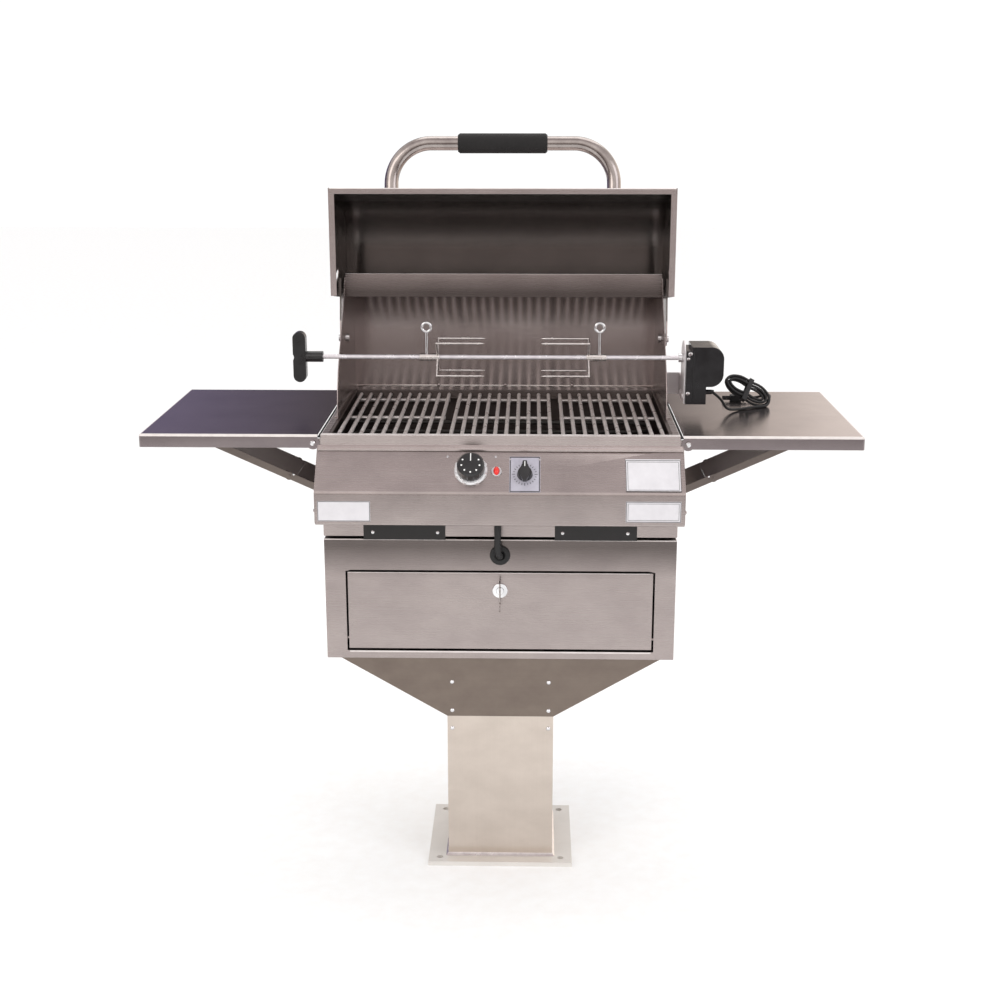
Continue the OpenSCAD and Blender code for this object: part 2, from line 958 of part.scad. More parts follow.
module timer_knob() {
    color("black")
        on_slope(timer_x, timer_s) {
            translate([0, 0, 1.3]) {
                cylinder(h = 10, d1 = timer_d, d2 = timer_d - 4);
                translate([0, 0, 9.9])
                    linear_extrude(9)
                        polygon([[-3.5, -21], [3.5, -21], [9.5, -6], [9.5, 3], [5, 13], [4, 20], [-4, 20], [-5, 13],
                            [-9.5, 3], [-9.5, -6]]);
            }
            translate([0, 0, -12])
                cylinder(h = 13.4, r = stem_r);
        }
}

module timer_body() {
    color("dimgray")
        on_slope(timer_x, timer_s)
            difference() {
                translate([-22, -26, -panel_t - 30])
                    cube([44, 52, 30]);
                translate([0, 0, -18])
                    cylinder(h = 20, r = stem_r + fit);
            }
}

// Hood: children are drawn closed and shown raised.
module raised() {
    from_front()
        translate([0, pivot_y, pivot_z])
            rotate([hood_open, 0, 0])
                translate([0, -pivot_y, -pivot_z])
                    children();
}

// The rolled corner's sector, cut down to a sheet's edge or kept whole for the end plates.
module roll_sector(inner) {
    intersection() {
        translate(roll_mid)
            difference() {
                circle(r = hood_roll, $fn = 96);
                if (inner > 0)
                    circle(r = inner, $fn = 96);
            }
        translate(roll_mid)
            polygon([[0, 0], [0, 2 * hood_roll], 2 * hood_roll * [-sin(roll_turn / 2), cos(roll_turn / 2)],
                2 * hood_roll * [-sin(roll_turn), cos(roll_turn)]]);
    }
}

module hood_shell() {
    color("darkgray")
        raised()
            along_x(-body_half + hood_t, body_half - hood_t) {
                polygon(folded([[hood_edge, hood_top - 10], [hood_edge, hood_top], roll_end - [eps, 0]], hood_t));
                roll_sector(hood_roll - hood_t);
                polygon(folded([roll_start + front_vec * eps, front_low, [mouth_front + rim_w, mouth_z]], hood_t));
            }
}

module hood_end_outline() {
    difference() {
        union() {
            polygon([front_low, roll_start, roll_mid, roll_end, [hood_edge, hood_top], [mouth_back, mouth_z]]);
            roll_sector(0);
        }
        translate([pivot_y, pivot_z]) {
            intersection() {
                difference() {
                    circle(r = spit_reach + slot_half, $fn = 96);
                    circle(r = spit_reach - slot_half, $fn = 96);
                }
                polygon([[0, 0], 300 * [-cos(spit_low), -sin(spit_low)], 300 * [-cos(40), -sin(40)],
                    300 * [-cos(75), -sin(75)]]);
            }
            rotate(spit_low)
                translate([-spit_reach, 0])
                    circle(r = slot_half);
        }
    }
}

module hood_arm_outline() {
    difference() {
        union() {
            translate([pivot_y, pivot_z])
                circle(r = 17);
            polygon([[pivot_y, pivot_z - 17], [pivot_y, pivot_z + 17], [300, 1100], [214, 1124], [214, 1056],
                [300, 1036]]);
        }
        translate([pivot_y, pivot_z])
            circle(r = pin_r);
    }
}

// End plates with the slot that clears the spit, their rims, and the arms that reach back to the pivots.
module hood_ends() {
    color("darkgray")
        raised()
            both_sides() {
                along_x(body_half - hood_t, body_half)
                    hood_end_outline();
                box([body_half - rim_w, mouth_front + rim_w, mouth_z],
                    [body_half - hood_t + eps, mouth_back, mouth_z + hood_t]);
                along_x(arm_in, arm_in + arm_t + eps)
                    hood_arm_outline();
            }
}

module hood_pivots() {
    color("dimgray")
        from_front()
            both_sides()
                translate([0, pivot_y, pivot_z]) {
                    rod_x(cheek_in - 4, cheek_in, 9);
                    rod_x(cheek_in - eps, arm_in + arm_t + 0.2, pin_r - fit);
                    rod_x(rail_in, arm_in - side_gap, 10);
                    rod_x(arm_in + arm_t + side_gap - 0.1, arm_in + arm_t + 4, 9);
                }
}

// A handle drawn with X across and Z up from the sheet that it stands on.
module on_hood_front() {
    base = front_low + front_vec * handle_from_lip;
    raised()
        translate([0, base[0], base[1]])
            rotate([90 - front_lean, 0, 0])
                children();
}

module hood_handle() {
    straight = handle_off - handle_bend;
    color("silver")
        on_hood_front() {
            for (turn = [0, 180])
                rotate([0, 0, turn]) {
                    translate([handle_half, 0, 0])
                        cylinder(h = straight, d = handle_d);
                    translate([handle_half - handle_bend, 0, straight])
                        rotate([90, 0, 0])
                            rotate_extrude(angle = 90)
                                translate([handle_bend, 0])
                                    circle(d = handle_d);
                }
            translate([0, 0, handle_off])
                rod_x(-handle_half + handle_bend, handle_half - handle_bend, handle_d / 2);
        }
}

module hood_grip() {
    color("black")
        on_hood_front()
            translate([0, 0, handle_off])
                difference() {
                    union() {
                        rod_x(-grip_len / 2 + 4, grip_len / 2 - 4, grip_d / 2);
                        both_sides()
                            translate([grip_len / 2 - 4 - eps, 0, 0])
                                rotate([0, 90, 0])
                                    cylinder(h = 4, d1 = grip_d, d2 = grip_d - 6);
                    }
                    rod_x(-grip_len, grip_len, handle_d / 2);
                }
}

// Spit
module on_spit() {
    from_front()
        translate([0, spit_y, spit_z])
            children();
}

module spit_rod() {
    color("silver")
        on_spit()
            rod_x(spit_left, plate_x + 6, spit_r);
}

module spit_handle() {
    grip_x = spit_left - 50;
    color("black")
        on_spit()
            difference() {
                union() {
                    rod_x(spit_left - 24, spit_left + 11, 11);
                    along_y(-11, 11)
                        difference() {
                            union() {
                                translate([grip_x + 4, 0])
                                    square([23, 12], center = true);
                                for (s = [-1, 1])
                                    translate([grip_x + 14, s * 38])
                                        circle(r = 13);
                                translate([grip_x + 1, -38])
                                    square([26, 76]);
                            }
                            translate([grip_x - 6, 0])
                                circle(r = 9);
                        }
                }
                rod_x(spit_left, spit_left + 30, spit_r + fit);
            }
}

module fork(turn, x) {
    corner = tine_half * sqrt(2);
    translate([x, 0, 0])
        rotate([0, 0, turn])
            difference() {
                union() {
                    rod_x(0, hub_len, spit_r + 3);
                    for (a = [45 : 90 : 315])
                        rotate([a, 0, 0]) {
                            translate([4, 0, spit_r + 1])
                                cylinder(h = corner - spit_r - 1, d = tine_d, $fn = 20);
                            translate([4, 0, corner])
                                sphere(d = tine_d + 0.6, $fn = 20);
                            translate([0, 0, corner])
                                rod_x(-tine_len + 8, 4, tine_d / 2, $fn = 20);
                            translate([-tine_len, 0, corner])
                                rotate([0, 90, 0])
                                    cylinder(h = 8, d1 = 0.8, d2 = tine_d, $fn = 20);
                        }
                }
                rod_x(-1, hub_len + 1, spit_r + fit);
                translate([hub_len - 14, 0, 0])
                    cylinder(h = 20, r = 3);
            }
}

module spit_forks() {
    color("silver")
        on_spit() {
            fork(180, -fork_x);
            fork(0, fork_right);
        }
}

module fork_screws() {
    color("silver")
        on_spit()
            for (x = [-fork_x - hub_len + 14, fork_right + hub_len - 14])
                translate([x, 0, spit_r + 0.1]) {
                    cylinder(h = 50, r = 2.95);
                    translate([0, 0, 56])
                        rotate([90, 0, 0])
                            rotate_extrude()
                                translate([9, 0])
                                    circle(r = 3.2, $fn = 20);
                }
}

module spit_hub() {
    color("gainsboro")
        on_spit()
            difference() {
                rod_x(plate_x - 9, plate_x + plate_t + 4, hub_r);
                rod_x(plate_x - 10, plate_x + 6, spit_r + fit);
            }
}

// Spit motor
module motor_bracket() {
    color("silver")
        from_front() {
            difference() {
                along_x(plate_x, plate_x + plate_t)
                    union() {
                        translate([spit_y, spit_z])
                            circle(r = 35);
                        translate([spit_y - 35, bracket_low])
                            square([70, spit_z - bracket_low]);
                        translate([spit_y, bracket_low])
                            square([75, bracket_high - bracket_low]);
                    }
                translate([0, spit_y, spit_z])
                    rod_x(plate_x - 1, plate_x + plate_t + 1, hub_r + 0.4);
            }
            box([rail_in, spit_y + 72, bracket_low], [plate_x + eps, spit_y + 75, bracket_high]);
            box([rail_in, spit_y + 75 - eps, bracket_low], [rail_in + 2, spit_y + 100, bracket_high]);
            for (p = [[spit_y - 22, 958], [spit_y + 22, 958]])
                translate([plate_x, p[0], p[1]])
                    rotate([0, -90, 0])
                        cylinder(h = 3, r1 = 6, r2 = 4);
        }
}

// The motor's casing from the front: back plate, body with rounded outer corners, and foot.
module motor_outline() {
    translate([0, bracket_low + 0.5])
        square([14, 107.5]);
    translate([12, bracket_low + 0.5])
        square([29, 60]);
    translate([12, motor_top - 80])
        square([37, 80]);
    translate([12, motor_top - 54])
        square([63, 30]);
    translate([51, motor_top - 24])
        circle(r = 24);
    translate([49, motor_top - 54])
        circle(r = 26);
}

module motor_housing() {
    color("black")
        from_front()
            translate([motor_x, 0, 0])
                difference() {
                    union() {
                        along_y(motor_y - motor_half, motor_y + motor_half)
                            motor_outline();
                        translate([40, motor_y, 962])
                            rod_x(0, 13, 5);
                    }
                    translate([0, spit_y, spit_z])
                        rod_x(-1, 5, hub_r + 0.4);
                    translate([42, motor_y, 962])
                        rod_x(10, 12, lead_r + 0.2);
                }
}

module motor_cord() {
    color("black")
        from_front()
            swept(smoothed(lead_route, 4), lead_r, [0.1, 0.3, 1], 8);
}

// The hank: turns spiral in on the front layer, climb, and spiral out on the back layer.
function hank_inset(s) = (s < hank_turns / 2 ? s : hank_turns - s) * hank_pitch;
function hank_climb(s) = hank_layer * min(1, max(0, (s - hank_turns / 2) * 2 + 0.5));
function hank_point(s) =
    let (u = (hank_a - hank_inset(s)) * cos(360 * s), narrow = hank_waist * exp(-u * u / 300))
    [u, hank_climb(s) - hank_layer / 2, (hank_b - hank_inset(s) - narrow) * sin(360 * s)];
hank_points = [for (i = [0 : hank_turns * hank_rings]) hank_point(i / hank_rings)];

module on_hank() {
    from_front()
        translate(hank_mid)
            rotate([0, hank_tilt, 0])
                rotate([hank_lean, 0, 0])
                    children();
}

module cord_hank() {
    color("black")
        on_hank()
            swept(hank_points, lead_r, [0, 1, 0], 6);
}

// A strap round the hank's waist.
module cord_tie() {
    h = hank_layer / 2 + lead_r + 0.4;
    v = hank_b - hank_waist + lead_r + 0.4;
    color("black")
        on_hank()
            difference() {
                box([-5, -h - 1.2, -v - 1.2], [5, h + 1.2, v + 1.2]);
                box([-6, -h, -v], [6, h, v]);
            }
}

module cord_tail() {
    color("black")
        from_front()
            swept(smoothed(tail_route, 4), lead_r, [0.1, 0.3, 1], 8);
}

module cord_plug() {
    p = tail_route[len(tail_route) - 1];
    color("black")
        from_front()
            translate(p)
                difference() {
                    union() {
                        rod_x(-12, 0, 4.4);
                        box([-34, -9, -6.6], [-11, 9, 6.6]);
                        for (y = [-6.3, 6.3])
                            box([-50, y - 0.8, -3.2], [-34 + eps, y + 0.8, 3.2]);
                    }
                    translate([-43, 0, 0])
                        rod_y(-9, 9, 1.4);
                }
}
hank_gap = min([for (i = [0 : len(hank_points) - 1], j = [0 : len(hank_points) - 1])
    if (j > i + 6) norm(hank_points[i] - hank_points[j])]) - 2 * lead_r;
echo(hank_gap = hank_gap, hank_length = path_length(hank_points), lead_length = path_length(smoothed(lead_route, 4)),
    tail_length = path_length(smoothed(tail_route, 4)), supply_length = path_length(smoothed(supply_route, 2)));

// Shelves
module shelf_plan() {
    difference() {
        union() {
            box([shelf_in, 0, ledge_z - skirt_h], [shelf_out, shelf_d, ledge_z]);
            translate([hinge_x, 0, hinge_z])
                rod_y(0, shelf_d, lug_r);
        }
        box([shelf_in - 30, shelf_t, ledge_z - skirt_h - 20],
            [shelf_out - shelf_t, shelf_d - shelf_t, ledge_z - shelf_t]);
        translate([hinge_x, 0, hinge_z])
            rod_y(-1, shelf_d + 1, pivot_r + fit);
    }
}

module shelf_lugs() {
    for (y = [-1, 1])
        translate([shelf_pin[0], brace_mid + y * lug_at, shelf_pin[1]])
            difference() {
                union() {
                    rod_y(-lug_t / 2, lug_t / 2, 5);
                    box([-5, -lug_t / 2, 0], [5, lug_t / 2, ledge_z - shelf_t - shelf_pin[1]]);
                }
                rod_y(-lug_t, lug_t, rod_r + fit);
            }
}

module shelf(side) {
    color(side < 0 ? "slategray" : "dimgray")
        from_front()
            mirror([side < 0 ? 1 : 0, 0, 0]) {
                shelf_plan();
                shelf_lugs();
                translate([shelf_pin[0], brace_mid, shelf_pin[1]])
                    rod_y(-brace_half - 0.8, brace_half + 0.8, rod_r);
            }
}

module shelf_left() {
    shelf(-1);
}

module shelf_right() {
    shelf(1);
}

// Fixed hinge brackets, pivot screws and the lower brace lugs on the body's sides.
module shelf_hinges() {
    color("silver")
        from_front()
            both_sides() {
                box([body_half, shelf_t + 3, hinge_z - 10], [body_half + 2, shelf_d - shelf_t - 3, hinge_z + 8]);
                for (y = [shelf_t + side_gap, shelf_d - shelf_t - side_gap - 3])
                    translate([0, y, 0]) {
                        box([body_half, 0, hinge_z - 8], [hinge_x, 3, hinge_z + 8]);
                        translate([hinge_x, 0, hinge_z])
                            rod_y(0, 3, 8);
                    }
                for (e = [[-2.6, -side_gap, 1], [shelf_d + side_gap, shelf_d + 2.6, -1]])
                    translate([hinge_x, 0, hinge_z]) {
                        rod_y(e[0], e[1], 5.5);
                        rod_y(e[2] > 0 ? -1 : shelf_d - 3, e[2] > 0 ? 3 : shelf_d + 1, pivot_r);
                    }
                for (y = [-1, 1])
                    translate([wall_pin[0], brace_mid + y * lug_at, wall_pin[1]]) {
                        rod_y(-lug_t / 2, lug_t / 2, 5);
                        box([body_half - wall_pin[0], -lug_t / 2, -5], [0, lug_t / 2, 5]);
                    }
                box([body_half, brace_mid - lug_at - 2, wall_pin[1] - 12],
                    [body_half + 1.5, brace_mid + lug_at + 2, wall_pin[1] + 12]);
                translate([wall_pin[0], brace_mid, wall_pin[1]])
                    rod_y(-inner_half, inner_half, rod_r);
            }
}

// Brace flaps are drawn from the wall pin along +X, with their flanges hanging below the web.
module flange_outline(x0, x1) {
    h = brace_flange / 2;
    translate([x0, 0])
        circle(r = h);
    translate([x1, 0])
        circle(r = ear_r);
    translate([x0, -h])
        square([x1 - x0, brace_flange]);
}

module inner_flap() {
    h = brace_flange / 2;
    for (y = [-1, 1])
        translate([0, y * (inner_half - brace_t / 2), 0])
            along_y(-brace_t / 2, brace_t / 2)
                difference() {
                    flange_outline(0, hook_at);
                    circle(r = rod_r + fit);
                    translate([hook_at, 0]) {
                        circle(r = rod_r + side_gap);
                        rotate(132)
                            translate([0, -rod_r - side_gap / 2])
                                square([30, 2 * rod_r + side_gap]);
                    }
                }
    box([h, -inner_half, h - brace_t], [hook_at - 2 * h, inner_half, h]);
}

module outer_flap() {
    h = brace_flange / 2;
    for (y = [-1, 1])
        translate([0, y * (brace_half - brace_t / 2), 0])
            along_y(-brace_t / 2, brace_t / 2)
                difference() {
                    union() {
                        translate([hook_at, 0])
                            circle(r = ear_r);
                        translate([hook_at, -h])
                            square([brace_len - hook_at, brace_flange]);
                        translate([brace_len, 0])
                            circle(r = h);
                    }
                    translate([brace_len, 0])
                        circle(r = rod_r + fit);
                }
    box([hook_at + ear_r + 3, -brace_half, h - brace_t], [brace_len - h - 2, brace_half, h]);
    translate([hook_at, 0, 0])
        rod_y(-brace_half - 2, brace_half + 2, rod_r);
}

module at_wall_pin(side) {
    from_front()
        mirror([side < 0 ? 1 : 0, 0, 0])
            translate([wall_pin[0], brace_mid, wall_pin[1]])
                rotate([0, -brace_angle, 0])
                    children();
}

module brace_inner_left() {
    color("darkgray")
        at_wall_pin(-1)
            inner_flap();
}

module brace_inner_right() {
    color("darkgray")
        at_wall_pin(1)
            inner_flap();
}

module brace_outer_left() {
    color("darkgray")
        at_wall_pin(-1)
            outer_flap();
}

module brace_outer_right() {
    color("darkgray")
        at_wall_pin(1)
            outer_flap();
}

base_plate();
pedestal_column();
splice_sleeve();
funnel();
pedestal_screws();
cabinet_shell();
cabinet_door();
lock_barrel();
lock_cam();
lock_key();
cord_grommet();
supply_cord();
mount_angles();
angle_screws();
firebox_shell();
front_ledge();
control_panel();
panel_caps();
panel_plates();
firebox_liner();
heating_elements();
drip_tray();
grate_left();
grate_middle();
grate_right();
cheek_left();
cheek_right();
rear_housing();
knob_skirt();
heat_knob();
heat_control();
lamp_bezel();
lamp_lens();
timer_plate();
timer_knob();
timer_body();
hood_shell();
hood_ends();
hood_pivots();
hood_handle();
hood_grip();
spit_rod();
spit_handle();
spit_forks();
fork_screws();
spit_hub();
motor_bracket();
motor_housing();
cord_tail();
cord_tie();
cord_plug();
motor_cord();
cord_hank();
shelf_left();
shelf_right();
shelf_hinges();
brace_inner_left();
brace_inner_right();
brace_outer_left();
brace_outer_right();
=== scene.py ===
"""The looks of a pedestal electric grill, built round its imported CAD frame.

Every piece is in metres in the frame's own place: +Z up, +Y away from the cook, origin under the base plate.
"""

from __future__ import annotations

import logging
import math
from dataclasses import dataclass, field
from enum import Enum
from typing import Callable, Iterable, Sequence

import bmesh
import bpy
from mathutils import Matrix, Vector


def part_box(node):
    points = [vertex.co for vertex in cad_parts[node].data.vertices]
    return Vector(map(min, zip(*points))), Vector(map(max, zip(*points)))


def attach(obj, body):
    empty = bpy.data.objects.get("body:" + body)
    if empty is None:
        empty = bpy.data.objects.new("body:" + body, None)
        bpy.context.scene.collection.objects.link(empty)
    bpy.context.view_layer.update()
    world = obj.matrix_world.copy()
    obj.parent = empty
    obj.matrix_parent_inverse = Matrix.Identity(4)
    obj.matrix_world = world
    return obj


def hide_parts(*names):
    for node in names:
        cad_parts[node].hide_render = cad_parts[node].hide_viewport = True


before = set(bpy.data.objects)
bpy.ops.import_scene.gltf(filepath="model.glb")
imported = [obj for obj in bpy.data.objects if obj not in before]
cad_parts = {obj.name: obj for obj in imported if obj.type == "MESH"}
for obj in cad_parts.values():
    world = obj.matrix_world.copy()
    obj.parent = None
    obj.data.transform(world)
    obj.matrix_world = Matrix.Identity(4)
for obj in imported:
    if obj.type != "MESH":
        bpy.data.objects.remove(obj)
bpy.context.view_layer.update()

log = logging.getLogger("grill")
MM = 0.001
FRONT_Y = -0.124  # the cabinet's front face, from which the source's routes count y
NOISE_LOW, NOISE_HIGH = 0.3, 0.7  # most of a noise's values lie between these

Point = tuple[float, float, float]
Links = dict[str | int, object]
Tree = bpy.types.NodeTree
Socket = bpy.types.NodeSocket
Shape = bmesh.types.BMesh
Piece = bpy.types.Object


class Grain(Enum):
    """The way a sheet was brushed, as the direction of its lines."""

    ACROSS = (1.0, 0.0, 0.0)
    UPRIGHT = (0.0, 0.0, 1.0)


class Side(Enum):
    """A side of the grill as the cook sees it, with its sign along X."""

    LEFT = -1
    RIGHT = 1


# Materials


def linear(code: str) -> tuple[float, float, float, float]:
    """Turn an sRGB hex colour to linear light.

    Args:
        code: Six hex digits after a hash.

    Returns:
        Red, green, blue and an alpha of 1.
    """
    channels = [int(code[i : i + 2], 16) / 255 for i in (1, 3, 5)]
    red, green, blue = (c / 12.92 if c <= 0.04045 else ((c + 0.055) / 1.055) ** 2.4 for c in channels)
    return (red, green, blue, 1.0)


def feed(node: bpy.types.Node, links: Links) -> bpy.types.Node:
    """Link or set a node's inputs.

    Args:
        node: The node.
        links: Input names or numbers, each with the output socket or the value that it takes.

    Returns:
        The same node.
    """
    for key, value in links.items():
        if isinstance(value, Socket):
            node.id_data.links.new(value, node.inputs[key])
        else:
            node.inputs[key].default_value = value
    return node


def add_node(tree: Tree, kind: str, links: Links | None = None, **settings: str) -> bpy.types.Node:
    """Add a shader node with its settings and links.

    Args:
        tree: The material's or world's node tree.
        kind: The node's type name without its ShaderNode prefix.
        links: Its inputs, as feed takes them.
        **settings: The node's own properties.

    Returns:
        The new node.
    """
    node = tree.nodes.new("ShaderNode" + kind)
    for key, value in settings.items():
        setattr(node, key, value)
    return feed(node, links or {})


def blank(name: str) -> tuple[bpy.types.Material, Tree, bpy.types.Node]:
    """Start a material.

    Args:
        name: The material's name.

    Returns:
        The material, its node tree and its main shader.
    """
    made = bpy.data.materials.new(name)
    made.use_nodes = True
    return made, made.node_tree, made.node_tree.nodes["Principled BSDF"]


def noise(tree: Tree, spacing_mm: Sequence[float], detail: float = 2.0, rough: float = 0.5) -> Socket:
    """Noise on the piece's own coordinates.

    Args:
        tree: The material's node tree.
        spacing_mm: Size of the noise's grain along X, Y and Z.
        detail: Octaves.
        rough: How strong the finer octaves are.

    Returns:
        The noise value's socket.
    """
    place = add_node(tree, "TexCoord").outputs["Object"]
    scale = [1 / (s * MM) for s in spacing_mm]
    mapped = add_node(tree, "Mapping", {"Vector": place, "Scale": scale}).outputs[0]
    links = {"Vector": mapped, "Scale": 1.0, "Detail": detail, "Roughness": rough}
    return add_node(tree, "TexNoise", links).outputs[0]


def wear(shader: bpy.types.Node, pattern: Socket, tones: tuple[str, str], rough: tuple[float, float]) -> None:
    """Let a noise carry a surface from one tone to another and from smooth to rough.

    Args:
        shader: The material's main shader.
        pattern: The noise.
        tones: Hex colours where the noise is low and high.
        rough: Roughness where the noise is low and high.
    """
    tree = shader.id_data
    reach = {0: pattern, 1: NOISE_LOW, 2: NOISE_HIGH}
    share = add_node(tree, "MapRange", reach).outputs[0]
    gloss = add_node(tree, "MapRange", {**reach, 3: rough[0], 4: rough[1]}).outputs[0]
    colour = add_node(tree, "Mix", {0: share, 6: linear(tones[0]), 7: linear(tones[1])}, data_type="RGBA")
    feed(shader, {"Base Color": colour.outputs[2], "Roughness": gloss})


@dataclass(frozen=True)
class Brushed:
    """Austenitic stainless sheet, ground with a belt, so it carries long fine lines and soft streaked reflections."""

    name: str
    dark: str
    light: str
    grain: Grain = Grain.ACROSS
    roughness: float = 0.27
    wave: float = 0.06
    stretch: float = 0.6
    metallic: float = 1.0
    shade: tuple[float, float] | None = None  # heights between which a painted shade, standing in for the shadow under an overhang, darkens the sheet
    # the painted shade's dark tone, and how far at most it darkens the sheet
    painted_shade: str = "#3A3431"
    most_painted_shade: float = 0.7
    streak: float = 0.01
    line_mm: float = 1.3  # a real line is 0.1 mm wide; this wide it still shows
    line_long_mm: float = 260.0
    line_bump: float = 0.006
    line_depth: float = 0.6 * MM
    blotch_mm: Point = (90.0, 90.0, 60.0)
    blotch_weight: float = 6.0  # against 1 for the lines, in the colour
    mottle: tuple[float, float] = (1.6, 5.4)  # sums of both that give the dark and the light tone
    warp_mm: float = 190.0
    warp_depth: float = 12 * MM
    tilt: Point = (0.013, 0.011, 0.02)  # keeps a tangent where the sheet faces along its lines

    def material(self) -> bpy.types.Material:
        """Build the finish.

        Returns:
            The material.
        """
        made, tree, shader = blank(self.name)
        along = [self.line_long_mm if part else self.line_mm for part in self.grain.value]
        lines = noise(tree, along)
        blotches = noise(tree, self.blotch_mm, detail=4.0, rough=0.62)
        both = {0: blotches, 1: self.blotch_weight, 2: lines}
        mottle = add_node(tree, "Math", both, operation="MULTIPLY_ADD").outputs[0]
        share = add_node(tree, "MapRange", {0: mottle, 1: self.mottle[0], 2: self.mottle[1]}).outputs[0]
        tones = {0: share, 6: linear(self.dark), 7: linear(self.light)}
        colour = add_node(tree, "Mix", tones, data_type="RGBA").outputs[2]
        # Painted shade: between the two heights the colour is mixed towards a dark tone, standing in for shadow.
        if self.shade:
            place = add_node(tree, "TexCoord").outputs["Object"]
            height = add_node(tree, "SeparateXYZ", {0: place}).outputs["Z"]
            reach = {0: height, 1: self.shade[0], 2: self.shade[1], 4: self.most_painted_shade}
            painted_shade = add_node(tree, "MapRange", reach).outputs[0]
            darkened = {0: painted_shade, 6: colour, 7: linear(self.painted_shade)}
            colour = add_node(tree, "Mix", darkened, data_type="RGBA").outputs[2]
        low, high = self.roughness - self.streak, self.roughness + self.streak
        rough = add_node(tree, "MapRange", {0: lines, 1: NOISE_LOW, 2: NOISE_HIGH, 3: low, 4: high}).outputs[0]
        warp = noise(tree, (self.warp_mm,) * 3, detail=1.0)
        bend = add_node(tree, "Bump", {"Height": warp, "Strength": self.wave, "Distance": self.warp_depth}).outputs[0]
        ridges = {"Height": lines, "Strength": self.line_bump, "Distance": self.line_depth, "Normal": bend}
        normal = add_node(tree, "NewGeometry").outputs["Normal"]
        across = add_node(tree, "VectorMath", {0: normal, 1: self.grain.value}, operation="CROSS_PRODUCT").outputs[0]
        links = {
            "Base Color": colour,
            "Metallic": self.metallic,
            "Roughness": rough,
            "Anisotropic": self.stretch,
            "Normal": add_node(tree, "Bump", ridges).outputs[0],
            "Tangent": add_node(tree, "VectorMath", {0: across, 1: self.tilt}, operation="ADD").outputs[0],
        }
        feed(shader, links)
        return made


@dataclass(frozen=True)
class Polished:
    """Bright drawn or plated steel, with clear reflections that a light haze of handling dulls in places."""

    name: str
    dark: str
    light: str
    roughness: float = 0.14
    metallic: float = 1.0
    haze_mm: float = 24.0
    gloss: tuple[float, float] = (0.7, 1.6)  # the roughness's factors where the haze is thin and thick
    bump: float = 0.04
    depth: float = 1 * MM

    def material(self) -> bpy.types.Material:
        """Build the finish.

        Returns:
            The material.
        """
        made, tree, shader = blank(self.name)
        haze = noise(tree, (self.haze_mm,) * 3, detail=3.0, rough=0.6)
        wear(shader, haze, (self.dark, self.light), (self.roughness * self.gloss[0], self.roughness * self.gloss[1]))
        bump = add_node(tree, "Bump", {"Height": haze, "Strength": self.bump, "Distance": self.depth}).outputs[0]
        feed(shader, {"Metallic": self.metallic, "Normal": bump})
        return made


@dataclass(frozen=True)
class Moulded:
    """Moulded plastic, rubber or paint: a fine orange-peel skin with small changes of gloss."""

    name: str
    dark: str
    light: str
    roughness: float = 0.42
    ior: float = 1.5
    peel_mm: float = 1.4
    peel: float = 0.12
    coat: float = 0.0
    worn_mm: float = 32.0
    gloss: tuple[float, float] = (-0.06, 0.08)  # added to the roughness where it is least and most worn
    depth: float = 0.6 * MM

    def material(self) -> bpy.types.Material:
        """Build the finish.

        Returns:
            The material.
        """
        made, tree, shader = blank(self.name)
        worn = noise(tree, (self.worn_mm,) * 3, detail=3.0, rough=0.6)
        wear(shader, worn, (self.dark, self.light), (self.roughness + self.gloss[0], self.roughness + self.gloss[1]))
        skin = {"Height": noise(tree, (self.peel_mm,) * 3), "Strength": self.peel, "Distance": self.depth}
        bump = add_node(tree, "Bump", skin).outputs[0]
        feed(shader, {"IOR": self.ior, "Coat Weight": self.coat, "Normal": bump})
        return made


@dataclass(frozen=True)
class Lens:
    """A clear acrylic lens, glossy, and deep in colour where it is thick."""

    name: str
    dark: str
    light: str
    roughness: float = 0.08
    ior: float = 1.49
    coat: float = 0.5
    glow: float = 0.15
    grain_mm: float = 3.0

    def material(self) -> bpy.types.Material:
        """Build the finish.

        Returns:
            The material.
        """
        made, tree, shader = blank(self.name)
        edge = add_node(tree, "LayerWeight", {"Blend": 0.4}).outputs["Facing"]
        grain = noise(tree, (self.grain_mm,) * 3, detail=1.0)
        depth = add_node(tree, "Math", {0: edge, 1: grain}, operation="MULTIPLY").outputs[0]
        share = add_node(tree, "MapRange", {0: depth, 1: 0.0, 2: 0.5, 3: 1.0, 4: 0.0}).outputs[0]
        tones = {0: share, 6: linear(self.dark), 7: linear(self.light)}
        colour = add_node(tree, "Mix", tones, data_type="RGBA").outputs[2]
        links = {
            "Base Color": colour,
            "Roughness": self.roughness,
            "IOR": self.ior,
            "Coat Weight": self.coat,
            "Emission Color": colour,
            "Emission Strength": self.glow,
        }
        feed(shader, links)
        return made


Finish = Brushed | Polished | Moulded | Lens


